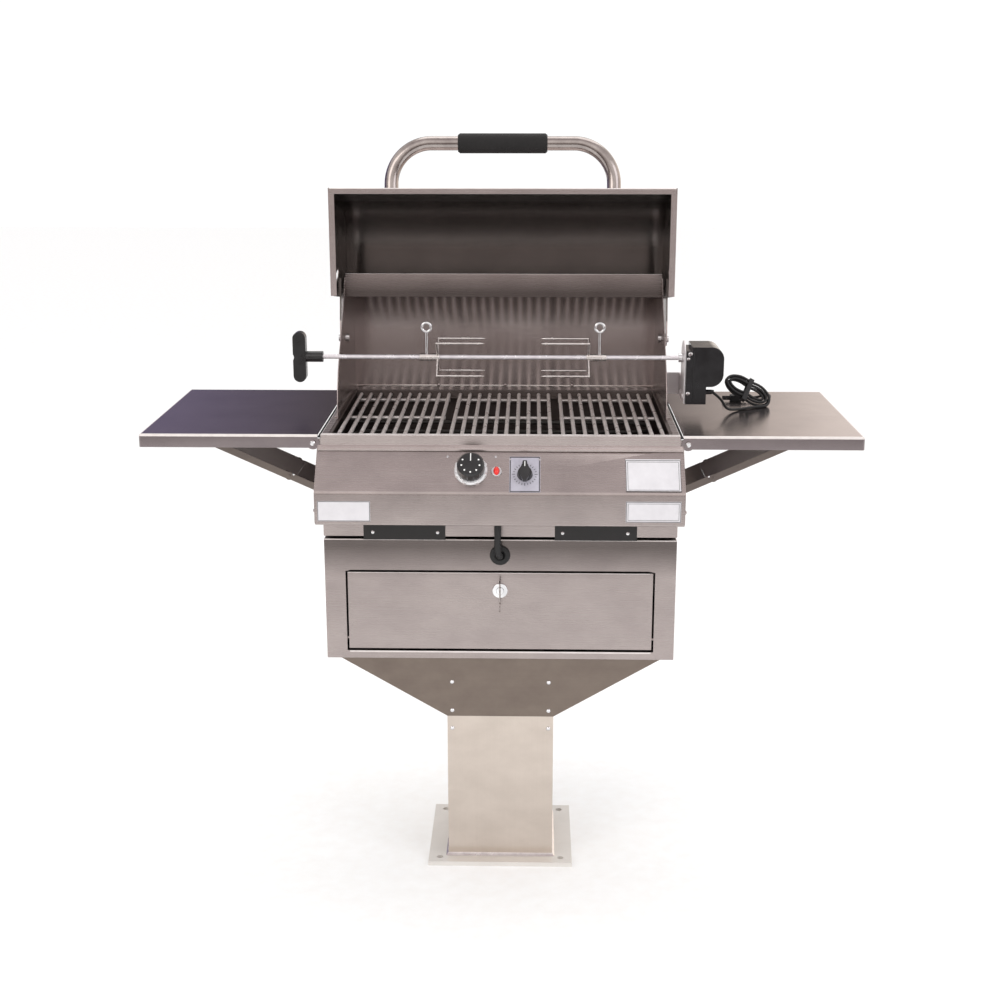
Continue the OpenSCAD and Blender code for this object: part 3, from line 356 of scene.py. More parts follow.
class Finishes:
    """Every finish of the grill, each made once."""

    # Belt-ground stainless sheet, lines across: an even grey that light runs along in soft streaks.
    SHEET = Brushed("brushed_stainless_across", "#9F9694", "#B5ABA8")
    # A lighter copy of the same sheet for the front ledge: painted light, for the light that the ledge catches.
    LIT_LEDGE = Brushed("brushed_stainless_ledge", "#B9AFAC", "#CBC1BE")
    # The same, with a painted shade standing in for the shadow under an overhang: the cabinet's top, the rear panel's
    # top.
    BOX = Brushed("brushed_stainless_cabinet", "#9F9593", "#B1A7A4", shade=(0.625, 0.69))
    # The visor's sheet is painted darker than the wall's, and its painted shade grows towards its foot.
    VISOR = Brushed("brushed_stainless_visor", "#958A88", "#A79C99", shade=(1.186, 1.147))
    # A finer grind, which mirrors more: nearly plain shelves, walls and hood with blurred pictures of the room.
    SHELF = Brushed("brushed_stainless_shelf", "#877E80", "#9B9292", roughness=0.19, stretch=0.4, wave=0.05)
    WALL = Brushed("brushed_stainless_wall", "#A29795", "#B4AAA8", roughness=0.21, stretch=1.0, wave=0.008)
    HOOD = Brushed("brushed_stainless_hood", "#BDB3B1", "#D0C7C5", roughness=0.22, stretch=0.75, wave=0.03)
    # The hood's inside is painted darker, a painted shade for the shadow within it, so it mirrors the wall darker than
    # it is.
    SHADED_INSIDE = Brushed("hood_inside_painted_shade", "#6E6865", "#7E7774", roughness=0.21, stretch=1.0, wave=0.004)
    # Zinc plate, and a foot ground dull: pale, with no streaks of light.
    ZINC = Brushed("zinc_plated_bracket", "#D3CDCE", "#EBE6E7", roughness=0.35, stretch=0.1, metallic=0.3)
    PLATE = Brushed("brushed_stainless_foot", "#DAD6D1", "#E9E5E0", roughness=0.34, stretch=0.1, metallic=0.5)
    # Coarser grinds, painted darker for shade: the braces for the shadow under their shelves, the funnel for the shade
    # it lies in facing the floor; the column is warm.
    SHADED_BRACE = Brushed("brushed_stainless_brace", "#6A6260", "#80776F", roughness=0.3)
    SHADED_FUNNEL = Brushed("brushed_stainless_funnel", "#736861", "#857A71", roughness=0.3)
    UPRIGHT = Brushed("brushed_stainless_column", "#C2B7AD", "#D4C9BF", grain=Grain.UPRIGHT, roughness=0.3)
    # Steel that heat has browned: dull and dark inside the firebox.
    DARK = Brushed("heat_darkened_steel", "#5D5552", "#7B726F", roughness=0.36)
    # Drawn and ground round stock: a thin bright line along each rod, softer on the grates that fat has dulled.
    BRIGHT = Polished("drawn_stainless_rod", "#CFC9C6", "#E6E1DE", roughness=0.2)
    ROD = Polished("ground_grate_rod", "#D2CBC8", "#E8E2DF", roughness=0.32, metallic=0.6)
    SPIT = Polished("ground_spit_rod", "#D6D0D4", "#EDE9EC", roughness=0.2, metallic=0.6)
    # A painted highlight: a pale even line along the outside of a sheet's fold, standing in for the light caught on the
    # bend.
    BEND_HIGHLIGHT = Polished("bend_painted_highlight", "#D3CBC8", "#E2DBD8", roughness=0.4, metallic=0.25)
    # Buffed tube and chrome plate: dark and light bands of the room, sharpest on the chrome.
    TUBE = Polished("polished_stainless_tube", "#8F8784", "#AAA29E", roughness=0.15)
    CHROME = Polished("chrome_plate", "#CFCFD1", "#EDEDEE", roughness=0.07)
    SATIN = Polished("satin_chrome_skirt", "#D6D6D8", "#EFEFF0", roughness=0.28, metallic=0.75)
    # Sheath of a tubular element, oxidised in use: a matt brown grey.
    ELEMENT = Moulded("sheathed_heating_element", "#2A2725", "#45403C", roughness=0.55, ior=1.6)
    # Powder paint, thermoset and rubber, all black: from a soft sheen with orange peel to none at all on foam.
    BLACK = Moulded("black_powder_paint", "#0C0A0A", "#181515", roughness=0.4, ior=1.5, peel_mm=1.0, peel=0.2)
    PHENOLIC = Moulded(
        "black_phenolic", "#0C0C0D", "#1A1A1C", roughness=0.3, ior=1.55, peel_mm=2.0, peel=0.06, coat=0.2
    )
    RUBBER = Moulded("black_rubber", "#111112", "#1F1F20", roughness=0.62, ior=1.5, peel_mm=0.8, peel=0.2)
    FOAM = Moulded("black_foam_grip", "#0F0D0D", "#1E1C1C", roughness=0.75, ior=1.45, peel_mm=1.6, peel=0.5)
    CASING = Moulded("black_motor_casing", "#131214", "#1C1B1E", roughness=0.22, ior=1.5, peel_mm=2.0, peel=0.01)
    # Printed vinyl and anodised plate: a flat pale face with a slight gloss.
    LABEL = Moulded("printed_vinyl_plate", "#CFCCCF", "#DAD7DA", roughness=0.35, ior=1.46, peel_mm=3.0, peel=0.03)
    LILAC = Moulded("anodised_timer_plate", "#A5A1AC", "#BDBAC4", roughness=0.32, ior=1.46, peel_mm=2.0, peel=0.04)
    # Screen ink: thin, even and matt.
    INK = Moulded("black_print", "#1B191C", "#2B282C", roughness=0.5, ior=1.45)
    PAINT = Moulded("white_print", "#E6E4E2", "#F6F5F3", roughness=0.45, ior=1.45)
    # Clear red acrylic: it seems lit from within.
    LENS = Lens("red_lamp_lens", "#7C0A08", "#E2231A")
    # Painted studio floor, which is no part of the grill: white and matt.
    FLOOR = Moulded("pale_floor", "#FBFAF9", "#FFFFFF", roughness=0.6, ior=1.45, peel_mm=40.0, peel=0.0)

    def __init__(self) -> None:
        """Start with nothing made."""
        self.made: dict[str, bpy.types.Material] = {}

    def get(self, finish: Finish) -> bpy.types.Material:
        """Find a finish's material, which is made on its first use.

        Args:
            finish: The finish.

        Returns:
            Its material.
        """
        if finish.name not in self.made:
            self.made[finish.name] = finish.material()
        return self.made[finish.name]


FINISH = Finishes()


# Mesh helpers


def settle(mesh: Shape, name: str, sharp_deg: float = 32.0) -> Piece:
    """Turn a bmesh into a smooth-shaded object at the origin.

    Args:
        mesh: The shape, which is freed.
        name: The piece's name.
        sharp_deg: Edges that fold more than this stay crisp.

    Returns:
        The new object, linked to the scene.
    """
    data = bpy.data.meshes.new(name)
    mesh.to_mesh(data)
    mesh.free()
    data.shade_smooth()
    data.set_sharp_from_angle(angle=math.radians(sharp_deg))
    made = bpy.data.objects.new(name, data)
    bpy.context.scene.collection.objects.link(made)
    return made


def flatten_shading(piece: Piece, fold_deg: float = 50.0) -> None:
    """Weigh each corner's normal by its faces' areas, so broad sheets stay flat and their bevels carry the turn.

    Args:
        piece: A piece with one mesh.
        fold_deg: Faces that turn away more than this don't count.
    """
    data = piece.data
    limit = math.cos(math.radians(fold_deg))
    around: list[list[int]] = [[] for _ in data.vertices]
    faces = [(face.normal.copy(), face.area) for face in data.polygons]
    for face in data.polygons:
        for vertex in face.vertices:
            around[vertex].append(face.index)
    normals = []
    for face in data.polygons:
        own = faces[face.index][0]
        for vertex in face.vertices:
            total = Vector()
            for other in around[vertex]:
                normal, area = faces[other]
                if normal.dot(own) > limit:
                    total += normal * area
            normals.append(total.normalized() if total.length else own)
    data.normals_split_custom_set(normals)


def dress(piece: Piece, finish: Finish) -> Piece:
    """Give a piece one finish in place of any that it has.

    Args:
        piece: A CAD node or a new piece.
        finish: The finish.

    Returns:
        The same piece.
    """
    if piece.data.materials:  # clearing also forgets which faces are marked, so a new piece isn't cleared
        piece.data.materials.clear()
    piece.data.materials.append(FINISH.get(finish))
    return piece


def tint(piece: Piece, finish: Finish, chosen: Callable[[Vector, Vector], bool]) -> None:
    """Give some of a piece's faces their own finish.

    Args:
        piece: The piece.
        finish: The finish of the chosen faces.
        chosen: Says of a face's centre and normal whether it is chosen.
    """
    piece.data.materials.append(FINISH.get(finish))
    for face in piece.data.polygons:
        if chosen(face.center, face.normal):
            face.material_index = len(piece.data.materials) - 1


def bevel(mesh: Shape, edges: list[bmesh.types.BMEdge], width: float, segments: int) -> list[bmesh.types.BMFace]:
    """Round some edges.

    Args:
        mesh: The shape.
        edges: The edges.
        width: Width of the rounding in metres.
        segments: Faces across the rounding.

    Returns:
        The rounding's faces.
    """
    made = bmesh.ops.bevel(
        mesh,
        geom=edges,
        offset=width,
        offset_type="OFFSET",
        segments=segments,
        profile=0.5,
        affect="EDGES",
        clamp_overlap=True,
        material=-1,
    )
    return made["faces"]


def folds(mesh: Shape, angle_deg: float = 26.0) -> list[bmesh.types.BMEdge]:
    """Edges between two faces that fold more than an angle.

    Args:
        mesh: The shape.
        angle_deg: The angle.

    Returns:
        The edges.
    """
    return [e for e in mesh.edges if len(e.link_faces) == 2 and e.calc_face_angle(0.0) > math.radians(angle_deg)]


def patch_areas(mesh: Shape, flat_deg: float = 6.0) -> dict[bmesh.types.BMFace, float]:
    """Find how broad a sheet each face belongs to.

    Args:
        mesh: The shape.
        flat_deg: Faces that meet at less than this are one sheet.

    Returns:
        For each face, the area of its sheet in square metres.
    """
    area: dict[bmesh.types.BMFace, float] = {}
    for start in mesh.faces:
        if start in area:
            continue
        patch, waiting = {start}, [start]
        while waiting:
            for edge in waiting.pop().edges:
                for face in edge.link_faces:
                    if face not in patch and edge.calc_face_angle(math.pi) < math.radians(flat_deg):
                        patch.add(face)
                        waiting.append(face)
        whole = sum(face.calc_area() for face in patch)
        area.update((face, whole) for face in patch)
    return area


def round_bends(mesh: Shape, width: float, broad: float = 3.5e-3, bend_deg: float = 3.0, rise: float = 0.15) -> None:
    """Round the edges where two broad sheets meet, as a press brake bends them, and mark the outer ones that face up
    for a painted highlight.

    Args:
        mesh: The shape.
        width: Width of the rounding in metres.
        broad: Smallest area of a sheet in square metres; cut edges stay below it.
        bend_deg: A rounding's own edges fold more than this.
        rise: How far a marked face's normal points up, at least.
    """
    area = patch_areas(mesh)
    made = bevel(mesh, [e for e in folds(mesh) if min(area[f] for f in e.link_faces) >= broad], width, 4)
    mesh.normal_update()
    for face in made:
        turns = [e.is_convex for e in face.edges if e.calc_face_angle(0.0) > math.radians(bend_deg)]
        if turns and all(turns) and face.normal.z > rise:
            face.material_index = 1


def softened_copy(node: str, width_mm: float, segments: int = 2, bend_mm: float = 0.0) -> Shape:
    """Copy a CAD node with merged corners and rounded edges.

    Args:
        node: The CAD node's name.
        width_mm: Width of the rounding.
        segments: Faces across it.
        bend_mm: Width of the rounding where broad sheets meet, or 0 for the same as elsewhere.

    Returns:
        The copy as a bmesh.
    """
    mesh = bmesh.new()
    mesh.from_mesh(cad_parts[node].data)
    bmesh.ops.remove_doubles(mesh, verts=mesh.verts, dist=2e-6)
    bmesh.ops.dissolve_limit(
        mesh, angle_limit=math.radians(0.6), verts=mesh.verts, edges=mesh.edges, use_dissolve_boundaries=False
    )
    if bend_mm:
        round_bends(mesh, bend_mm * MM)
    bevel(mesh, folds(mesh), width_mm * MM, segments)
    return mesh


def lathe(outline: Iterable[tuple[float, float]], steps: int = 40) -> Shape:
    """Spin an outline of (radius, height) round Z into a closed shape.

    Args:
        outline: Points from the axis, up and back to the axis, in millimetres.
        steps: Faces round.

    Returns:
        The turned shape.
    """
    mesh = bmesh.new()
    line = [mesh.verts.new((r * MM, 0.0, h * MM)) for r, h in outline]
    edges = [mesh.edges.new(pair) for pair in zip(line, line[1:])]
    bmesh.ops.spin(
        mesh,
        geom=line + edges,
        cent=(0, 0, 0),
        axis=(0, 0, 1),
        angle=math.tau,
        steps=steps,
        use_merge=True,
        use_duplicate=False,
    )
    bmesh.ops.remove_doubles(mesh, verts=mesh.verts, dist=1e-6)
    bmesh.ops.recalc_face_normals(mesh, faces=mesh.faces)
    return mesh


def disc(radius: float, height: float, sides: int, crown: float = 0.0) -> Shape:
    """Make a short round that stands on z = 0 and has a crowned top.

    Args:
        radius: Radius in millimetres.
        height: Height in millimetres.
        sides: Faces round.
        crown: How far the top's edge is rounded off, or 0 for a share of the height.

    Returns:
        The round.
    """
    edge = crown or height * 0.15
    return lathe([(0, 0), (radius, 0), (radius, height - edge), (radius - edge, height), (0, height)], sides)


def block(low: Sequence[float], high: Sequence[float], width: float = 0.0) -> Shape:
    """Make a box between two corners, with its edges rounded if a width is given.

    Args:
        low: Lowest corner in metres.
        high: Highest corner in metres.
        width: Width of the rounding in metres.

    Returns:
        The box.
    """
    mesh = bmesh.new()
    bmesh.ops.create_cube(mesh, size=1.0)
    bmesh.ops.scale(mesh, vec=[h - l for l, h in zip(low, high)], verts=mesh.verts)
    bmesh.ops.translate(mesh, vec=[(h + l) / 2 for l, h in zip(low, high)], verts=mesh.verts)
    if width:
        bevel(mesh, folds(mesh), width, 2)
    return mesh


def mark(wide: float, high: float, thick: float) -> Shape:
    """Make a thin flat bar whose foot's middle is the origin.

    Args:
        wide: Size along X in millimetres.
        high: Size along Y in millimetres.
        thick: Size along Z in millimetres.

    Returns:
        The bar.
    """
    x, y = wide / 2 * MM, high / 2 * MM
    return block((-x, -y, 0), (x, y, thick * MM))


def placed(mesh: Shape, place: Matrix) -> Shape:
    """Move a bmesh by a matrix and return it."""
    bmesh.ops.transform(mesh, matrix=place, verts=mesh.verts)
    return mesh


def joined(parts: Iterable[Shape]) -> Shape:
    """Gather several shapes into one.

    Args:
        parts: The shapes, which are freed.

    Returns:
        One bmesh.
    """
    whole = bmesh.new()
    for part in parts:
        data = bpy.data.meshes.new("part")
        part.to_mesh(data)
        part.free()
        whole.from_mesh(data)
        bpy.data.meshes.remove(data)
    return whole


def facing(point: Sequence[float], outward: Sequence[float]) -> Matrix:
    """Find a place whose Z looks outward.

    Args:
        point: Where it is, in metres.
        outward: The way Z looks.

    Returns:
        The matrix.
    """
    spin = Vector((0, 0, 1)).rotation_difference(Vector(outward).normalized()).to_matrix().to_4x4()
    return Matrix.Translation(point) @ spin


def tube_curve(name: str, points: Sequence[Point], radius: float) -> Piece:
    """Draw a round cord along points.

    Args:
        name: The piece's name.
        points: Its centreline in metres.
        radius: Its radius in metres.

    Returns:
        The curve object.
    """
    data = bpy.data.curves.new(name, "CURVE")
    data.dimensions = "3D"
    data.bevel_depth = radius
    data.bevel_resolution = 4
    data.use_fill_caps = True
    spline = data.splines.new("POLY")
    spline.points.add(len(points) - 1)
    for spot, point in zip(spline.points, points):
        spot.co = (*point, 1.0)
    made = bpy.data.objects.new(name, data)
    bpy.context.scene.collection.objects.link(made)
    return made


def smoothed(route: Sequence[Point], steps: int) -> list[Vector]:
    """Draw the same curve through a route's points as the CAD does.

    Args:
        route: Points in millimetres.
        steps: Points for each stretch.

    Returns:
        Points in millimetres.
    """
    spots = [Vector(p) for p in route]
    last = len(spots) - 1
    found = []
    for i in range(last):
        a, b, c, d = (spots[min(max(k, 0), last)] for k in (i - 1, i, i + 1, i + 2))
        for s in range(steps):
            t = s / steps
            bend = 2 * b + (c - a) * t + (2 * a - 5 * b + 4 * c - d) * t**2 + (3 * b - a - 3 * c + d) * t**3
            found.append(bend * 0.5)
    return [*found, spots[last]]


def in_frame(x: float, y: float, z: float) -> Point:
    """Turn a point in the source's millimetres to the frame's metres."""
    return (x * MM, y * MM + FRONT_Y, z * MM)


def path_length(points: Sequence[Point]) -> float:
    """Measure the length along points, in their own unit."""
    return sum((Vector(b) - Vector(a)).length for a, b in zip(points, points[1:]))


@dataclass
class Assembly:
    """A sub-assembly that rides on one CAD body."""

    body: str
    pieces: list[str] = field(default_factory=list)

    def add(
        self, shape: Shape | Piece, name: str, finish: Finish, slot: str, nodes: Sequence[str] = (), body: str = ""
    ) -> Piece:
        """Finish a shape as a piece of this sub-assembly.

        Args:
            shape: A bmesh or an object.
            name: The piece's name.
            finish: Its finish.
            slot: The record's slot; not used.
            nodes: CAD nodes that it stands for.
            body: Another body than the sub-assembly's own.

        Returns:
            The piece.
        """
        piece = settle(shape, name) if isinstance(shape, Shape) else shape
        dress(piece, finish)
        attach(piece, body or self.body)
        if nodes:
            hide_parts(*nodes)
        self.pieces.append(name)
        return piece

    def soften_node(
        self,
        node: str,
        width_mm: float,
        finish: Finish,
        slot: str,
        body: str = "",
        segments: int = 2,
        bend_mm: float = 0.0,
    ) -> Piece:
        """Stand a softened copy in for a CAD node.

        Args:
            node: The CAD node.
            width_mm: Width of its edges' rounding.
            finish: Its finish.
            slot: The record's slot.
            body: Another body than the sub-assembly's own.
            segments: Faces across the rounding.
            bend_mm: Width of the rounding where broad sheets meet.

        Returns:
            The piece.
        """
        copy = softened_copy(node, width_mm, segments, bend_mm)
        piece = self.add(copy, node + "_formed", finish, slot, [node], body)
        piece.data.materials.append(FINISH.get(Finishes.BEND_HIGHLIGHT))  # painted highlight for the faces that round_bends marked
        flatten_shading(piece)
        return piece

    def dress_node(self, node: str, finish: Finish) -> None:
        """Give a CAD node that stays its finish."""
        dress(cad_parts[node], finish)
        self.pieces.append(node)


# Sub-assemblies


@dataclass
class Lead(Assembly):
    """The spit motor's lead: out of the motor, wound into a tied hank on the right shelf, ending in its plug."""

    radius: float = 2.75 * MM
    from_motor: tuple[Point, ...] = (
        (422, 200, 962), (428, 200, 961.6), (446, 205, 946), (462, 220, 924), (486, 244, 917.2),
        (516, 264, 917.1), (540, 276, 917.1), (551, 284, 917.3), (556.2, 290.2, 919.8), (558.7, 293.4, 924.6),
    )  # fmt: skip
    to_plug: tuple[Point, ...] = (
        (557.1, 298.6, 921.8), (560, 302.4, 927.3), (562, 312, 933), (556, 328, 931), (542, 341, 924.5),
        (528, 345, 921.5), (518, 345, 921.3),
    )  # fmt: skip
    steps: int = 8
    hank_mid: Point = (512, 296, 947.7)
    tilt_deg: float = 28.0
    lean_deg: float = -32.0
    turns: int = 4
    pitch: float = 6.9
    half_long: float = 52.0
    half_wide: float = 25.0
    waist: float = 4.0
    waist_spread: float = 300.0
    layer: float = 6.2
    rings: int = 48
    apart: float = 0.4 * MM
    relief: tuple[tuple[float, float], ...] = ((0, 0), (5.0, 0), (4.6, 4), (3.4, 9), (0, 9))
    relief_aim: int = 6

    def hank(self) -> list[Vector]:
        """Draw the hank: half its turns spiral in on the front layer and half out on the back one.

        Returns:
            Its centreline in the source's millimetres.
        """
        place = (
            Matrix.Translation(self.hank_mid)
            @ Matrix.Rotation(math.radians(self.tilt_deg), 4, "Y")
            @ Matrix.Rotation(math.radians(self.lean_deg), 4, "X")
        )
        found = []
        for i in range(self.turns * self.rings + 1):
            s = i / self.rings
            inset = (s if s < self.turns / 2 else self.turns - s) * self.pitch
            climb = self.layer * min(1.0, max(0.0, (s - self.turns / 2) * 2 + 0.5))
            u = (self.half_long - inset) * math.cos(math.tau * s)
            narrow = self.waist * math.exp(-u * u / self.waist_spread)
            v = (self.half_wide - inset - narrow) * math.sin(math.tau * s)
            found.append(place @ Vector((u, climb - self.layer / 2, v)))
        return found

    def build(self) -> None:
        """Build the lead, its relief, tie and plug."""
        line = [*smoothed(self.from_motor, self.steps), *self.hank(), *smoothed(self.to_plug, self.steps)]
        points = [in_frame(*p) for p in line]
        kept = [points[0]]
        for point in points[1:]:
            if path_length([kept[-1], point]) > self.apart:
                kept.append(point)
        cord = tube_curve("motor_lead", kept, self.radius)
        toward = Vector(kept[self.relief_aim]) - Vector(kept[0])
        relief = placed(lathe(self.relief, steps=24), facing(kept[0], toward))
        self.add(relief, "lead_relief", Finishes.RUBBER, "black_rubber")
        self.soften_node("cord_tie", 0.4, Finishes.RUBBER, "black_plastic")
        plug = self.soften_node("cord_plug", 1.2, Finishes.RUBBER, "black_plastic")
        self.add(cord, "motor_lead", Finishes.RUBBER, "black_rubber", ["motor_cord", "cord_hank", "cord_tail"])


@dataclass
class Supply(Assembly):
    """The supply cord that leaves the head and goes down into the cabinet through a rubber grommet."""

    radius: float = 6.5 * MM
    steps: int = 6
    route: tuple[Point, ...] = (
        (-4, -34, 752), (-4, -34, 742), (-4, -34, 722), (-4, -33, 702), (-3, -28, 688),
        (-1, -19, 678), (0, -9, 674.3), (0, 0, 674), (0, 10, 674), (0, 20, 674),
    )  # fmt: skip

    def build(self) -> None:
        """Build the cord and its grommet."""
        points = [in_frame(*p) for p in smoothed(self.route, self.steps)]
        cord = tube_curve("supply_lead", points, self.radius)
        self.add(cord, "supply_lead", Finishes.RUBBER, "black_rubber", ["supply_cord"])
        self.soften_node("cord_grommet", 1.0, Finishes.RUBBER, "black_rubber")


@dataclass
class Pedestal(Assembly):
    """Base plate, column and funnel."""

    bead: float = 5 * MM
    hollow: float = 0.45  # how far out the weld's face lies along its diagonal

    def weld(self) -> Shape:
        """Run a fillet weld round the column's foot.

        Returns:
            The weld.
        """
        low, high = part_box("pedestal_column")
        corners = [(low.x, low.y), (high.x, low.y), (high.x, high.y), (low.x, high.y)]
        face = self.bead * self.hollow
        mesh = bmesh.new()
        rings = []
        for grow, lift in ((0.0, self.bead), (0.0, 0.0), (self.bead, 0.0), (face, face)):
            spots = [(x + math.copysign(grow, x), y + math.copysign(grow, y), low.z + lift) for x, y in corners]
            rings.append([mesh.verts.new(spot) for spot in spots])
        for a, b in zip(rings, rings[1:] + rings[:1]):
            for k in range(4):
                mesh.faces.new((a[k], a[(k + 1) % 4], b[(k + 1) % 4], b[k]))
        bmesh.ops.recalc_face_normals(mesh, faces=mesh.faces)
        return mesh

    def build(self) -> None:
        """Build the pedestal's pieces."""
        self.soften_node("base_plate", 1.2, Finishes.PLATE, "pedestal_steel")
        self.soften_node("pedestal_column", 1.6, Finishes.UPRIGHT, "pedestal_steel", segments=3)
        # The funnel takes a finish painted darker for the shade it lies in.
        self.soften_node("funnel", 1.2, Finishes.SHADED_FUNNEL, "pedestal_steel")
        self.dress_node("splice_sleeve", Finishes.DARK)
        self.dress_node("pedestal_screws", Finishes.CHROME)
        self.add(self.weld(), "foot_weld", Finishes.BRIGHT, "pedestal_steel")


@dataclass
class Cabinet(Assembly):
    """Cabinet box, drop door, and the lock with its key."""

    sill: tuple[Point, Point] = ((-0.3, FRONT_Y - 0.3 * MM, 0.4696), (0.3, FRONT_Y + 0.5 * MM, 0.4728))

    def build(self) -> None:
        """Build the cabinet's pieces."""
        # The cabinet and its door carry a painted shade under the panel's overhang.
        self.soften_node("cabinet_shell", 0.6, Finishes.BOX, "stainless", bend_mm=2.0)
        # A painted highlight: a thin pale strip along the door's sill, for the bright line under the door.
        self.add(block(*self.sill, 0.2 * MM), "sill_highlight", Finishes.BEND_HIGHLIGHT, "stainless")
        self.soften_node("cabinet_door", 0.6, Finishes.BOX, "stainless", "door", bend_mm=2.0)
        self.soften_node("lock_barrel", 0.8, Finishes.CHROME, "chrome", "door")
        self.soften_node("lock_key", 0.5, Finishes.TUBE, "chrome", "lock")
        self.dress_node("lock_cam", Finishes.CHROME)
        self.soften_node("mount_angles", 0.6, Finishes.BLACK, "black_steel")
        self.dress_node("angle_screws", Finishes.CHROME)


@dataclass
class Slope:
    """The control panel's sloping face, as places on it."""

    top: Point = (0.0, FRONT_Y - 10 * MM, 880 * MM)
    down: Point = (0.0, -0.66203, -0.74947)
    out: Point = (0.0, -0.74947, 0.66203)

    def place(self, x_mm: float, s_mm: float, lift_mm: float = 0.0) -> Matrix:
        """Find a place on the slope with X across, Y up the slope and Z out of it.

        Args:
            x_mm: Across from the middle.
            s_mm: Down the slope from its top bend.
            lift_mm: Out from the face.

        Returns:
            The matrix.
        """
        down, out = Vector(self.down), Vector(self.out)
        at = Vector(self.top) + Vector((x_mm * MM, 0, 0)) + down * (s_mm * MM) + out * (lift_mm * MM)
        turn = Matrix(((1, 0, 0), (0, -down.y, out.y), (0, -down.z, out.z))).to_4x4()
        return Matrix.Translation(at) @ turn


@dataclass
class Controls(Assembly):
    """The heat knob, lamp and timer on the slope, and the bare plates; sizes are in millimetres."""

    slope: Slope = field(default_factory=Slope)
    heat: tuple[float, float] = (-55.0, 35.0)
    skirt_height: float = 8.0
    knob_face: float = 26.15
    dots: int = 7
    dot_ring: float = 17.5
    first_dot_deg: float = 150.0
    dot_step_deg: float = 40.0
    knob_pointer: Point = (1.8, 16.0, 0.5)
    knob_pointer_at: float = 14.5
    lobes: int = 8
    lobe_ring: float = 27.6
    timer: tuple[float, float] = (48.0, 44.0)
    timer_face: float = 0.95
    timer_frame: tuple[tuple[float, float, float, float], ...] = (  # middle across and up, width and height
        (0, 36.6, 57, 1.6), (0, -36.6, 57, 1.6), (-27.8, 0, 1.6, 73), (27.8, 0, 1.6, 73),
    )  # fmt: skip
    ticks: int = 24
    tick_ring: float = 21.5
    tick_width: float = 1.0
    tick_length: float = 3.4
    tick_quarter: int = 6  # every sixth tick is longer
    quarter_length: float = 5.6
    print_height: float = 0.25
    timer_pointer: Point = (1.6, 10.0, 0.4)
    timer_pointer_at: float = 13.0
    pointer_face: float = 20.1
    lamp: Point = (-6, 38, 2.6)
    jewel: tuple[tuple[float, float], ...] = ((0, 0), (6.0, 0), (6.0, 1.6), (5.0, 3.8), (2.8, 5.4), (0, 6))
    jewel_stretch: Point = (1.0, 1.5, 1.0)
    plate_y: float = -190.8
    front_rims: tuple[tuple[float, ...], ...] = (  # left, right, low and high of the rim, and its line
        (-346.4, -246.6, 760.6, 799.4, 0.9), (240.6, 344.4, 761.6, 801.4, 0.9), (244, 341, 765, 798, 0.54),
    )  # fmt: skip
    slope_plate: tuple[float, float] = (292.5, 46.3)
    slope_plate_face: float = 0.8
    slope_rims: tuple[tuple[float, float, float], ...] = ((103.8, 66.8, 0.9), (97, 60, 0.54))
    rim_height: float = 0.3
    screws: tuple[tuple[float, float], ...] = ((-100, 6), (-8, 6), (20, 12), (76, 12))

    def on_slope(self, parts: Iterable[tuple[Shape, float, float]], at: tuple[float, float], lift: float) -> Shape:
        """Set flat marks on the slope round a centre.

        Args:
            parts: Shapes with their X and Y from the centre.
            at: The centre on the slope.
            lift: Height over the slope.

        Returns:
            One bmesh.
        """
        centre = self.slope.place(*at, lift)
        return joined(placed(shape, centre @ Matrix.Translation((x * MM, y * MM, 0))) for shape, x, y in parts)

    def knob(self) -> None:
        """Build the scalloped heat knob, its pointer, dots and chrome skirt."""
        dial = self.soften_node("heat_knob", 0.9, Finishes.PHENOLIC, "black_plastic", "heat_knob")
        base, out = self.slope.place(*self.heat).translation, Vector(self.slope.out)
        tint(dial, Finishes.SATIN, lambda at, normal: (at - base).dot(out) < self.skirt_height * MM)
        self.soften_node("knob_skirt", 0.8, Finishes.SATIN, "chrome")
        turns = [math.radians(self.first_dot_deg + k * self.dot_step_deg) for k in range(self.dots)]
        marks = [(disc(1.7, 0.5, sides=14), self.dot_ring * math.cos(a), self.dot_ring * math.sin(a)) for a in turns]
        marks.append((mark(*self.knob_pointer), 0, self.knob_pointer_at))
        dial_marks = self.on_slope(marks, self.heat, self.knob_face)
        self.add(dial_marks, "knob_marks", Finishes.PAINT, "plate", body="heat_knob")
        turns = [math.tau * (k + 0.5) / self.lobes for k in range(self.lobes)]
        lobes = [
            (disc(4.9, 6.4, sides=18, crown=2.2), self.lobe_ring * math.cos(a), self.lobe_ring * math.sin(a))
            for a in turns
        ]
        self.add(self.on_slope(lobes, self.heat, 0.0), "skirt_lobes", Finishes.SATIN, "chrome")

    def timer_dial(self) -> None:
        """Build the timer's plate with its printed frame and ticks, and its pointer."""
        self.soften_node("timer_plate", 0.3, Finishes.LILAC, "plate")
        self.soften_node("timer_knob", 0.7, Finishes.PHENOLIC, "black_plastic", "timer_knob")
        ink = [(mark(w, h, self.print_height), x, y) for x, y, w, h in self.timer_frame]
        for k in range(self.ticks):
            angle = math.tau * k / self.ticks
            long = self.tick_length if k % self.tick_quarter else self.quarter_length
            tick = placed(mark(self.tick_width, long, self.print_height), Matrix.Rotation(angle, 4, "Z"))
            ink.append((tick, -self.tick_ring * math.sin(angle), self.tick_ring * math.cos(angle)))
        self.add(self.on_slope(ink, self.timer, self.timer_face), "timer_print", Finishes.INK, "black_plastic")
        pointer = [(mark(*self.timer_pointer), 0, self.timer_pointer_at)]
        line = self.on_slope(pointer, self.timer, self.pointer_face)
        self.add(line, "timer_pointer", Finishes.PAINT, "plate", body="timer_knob")

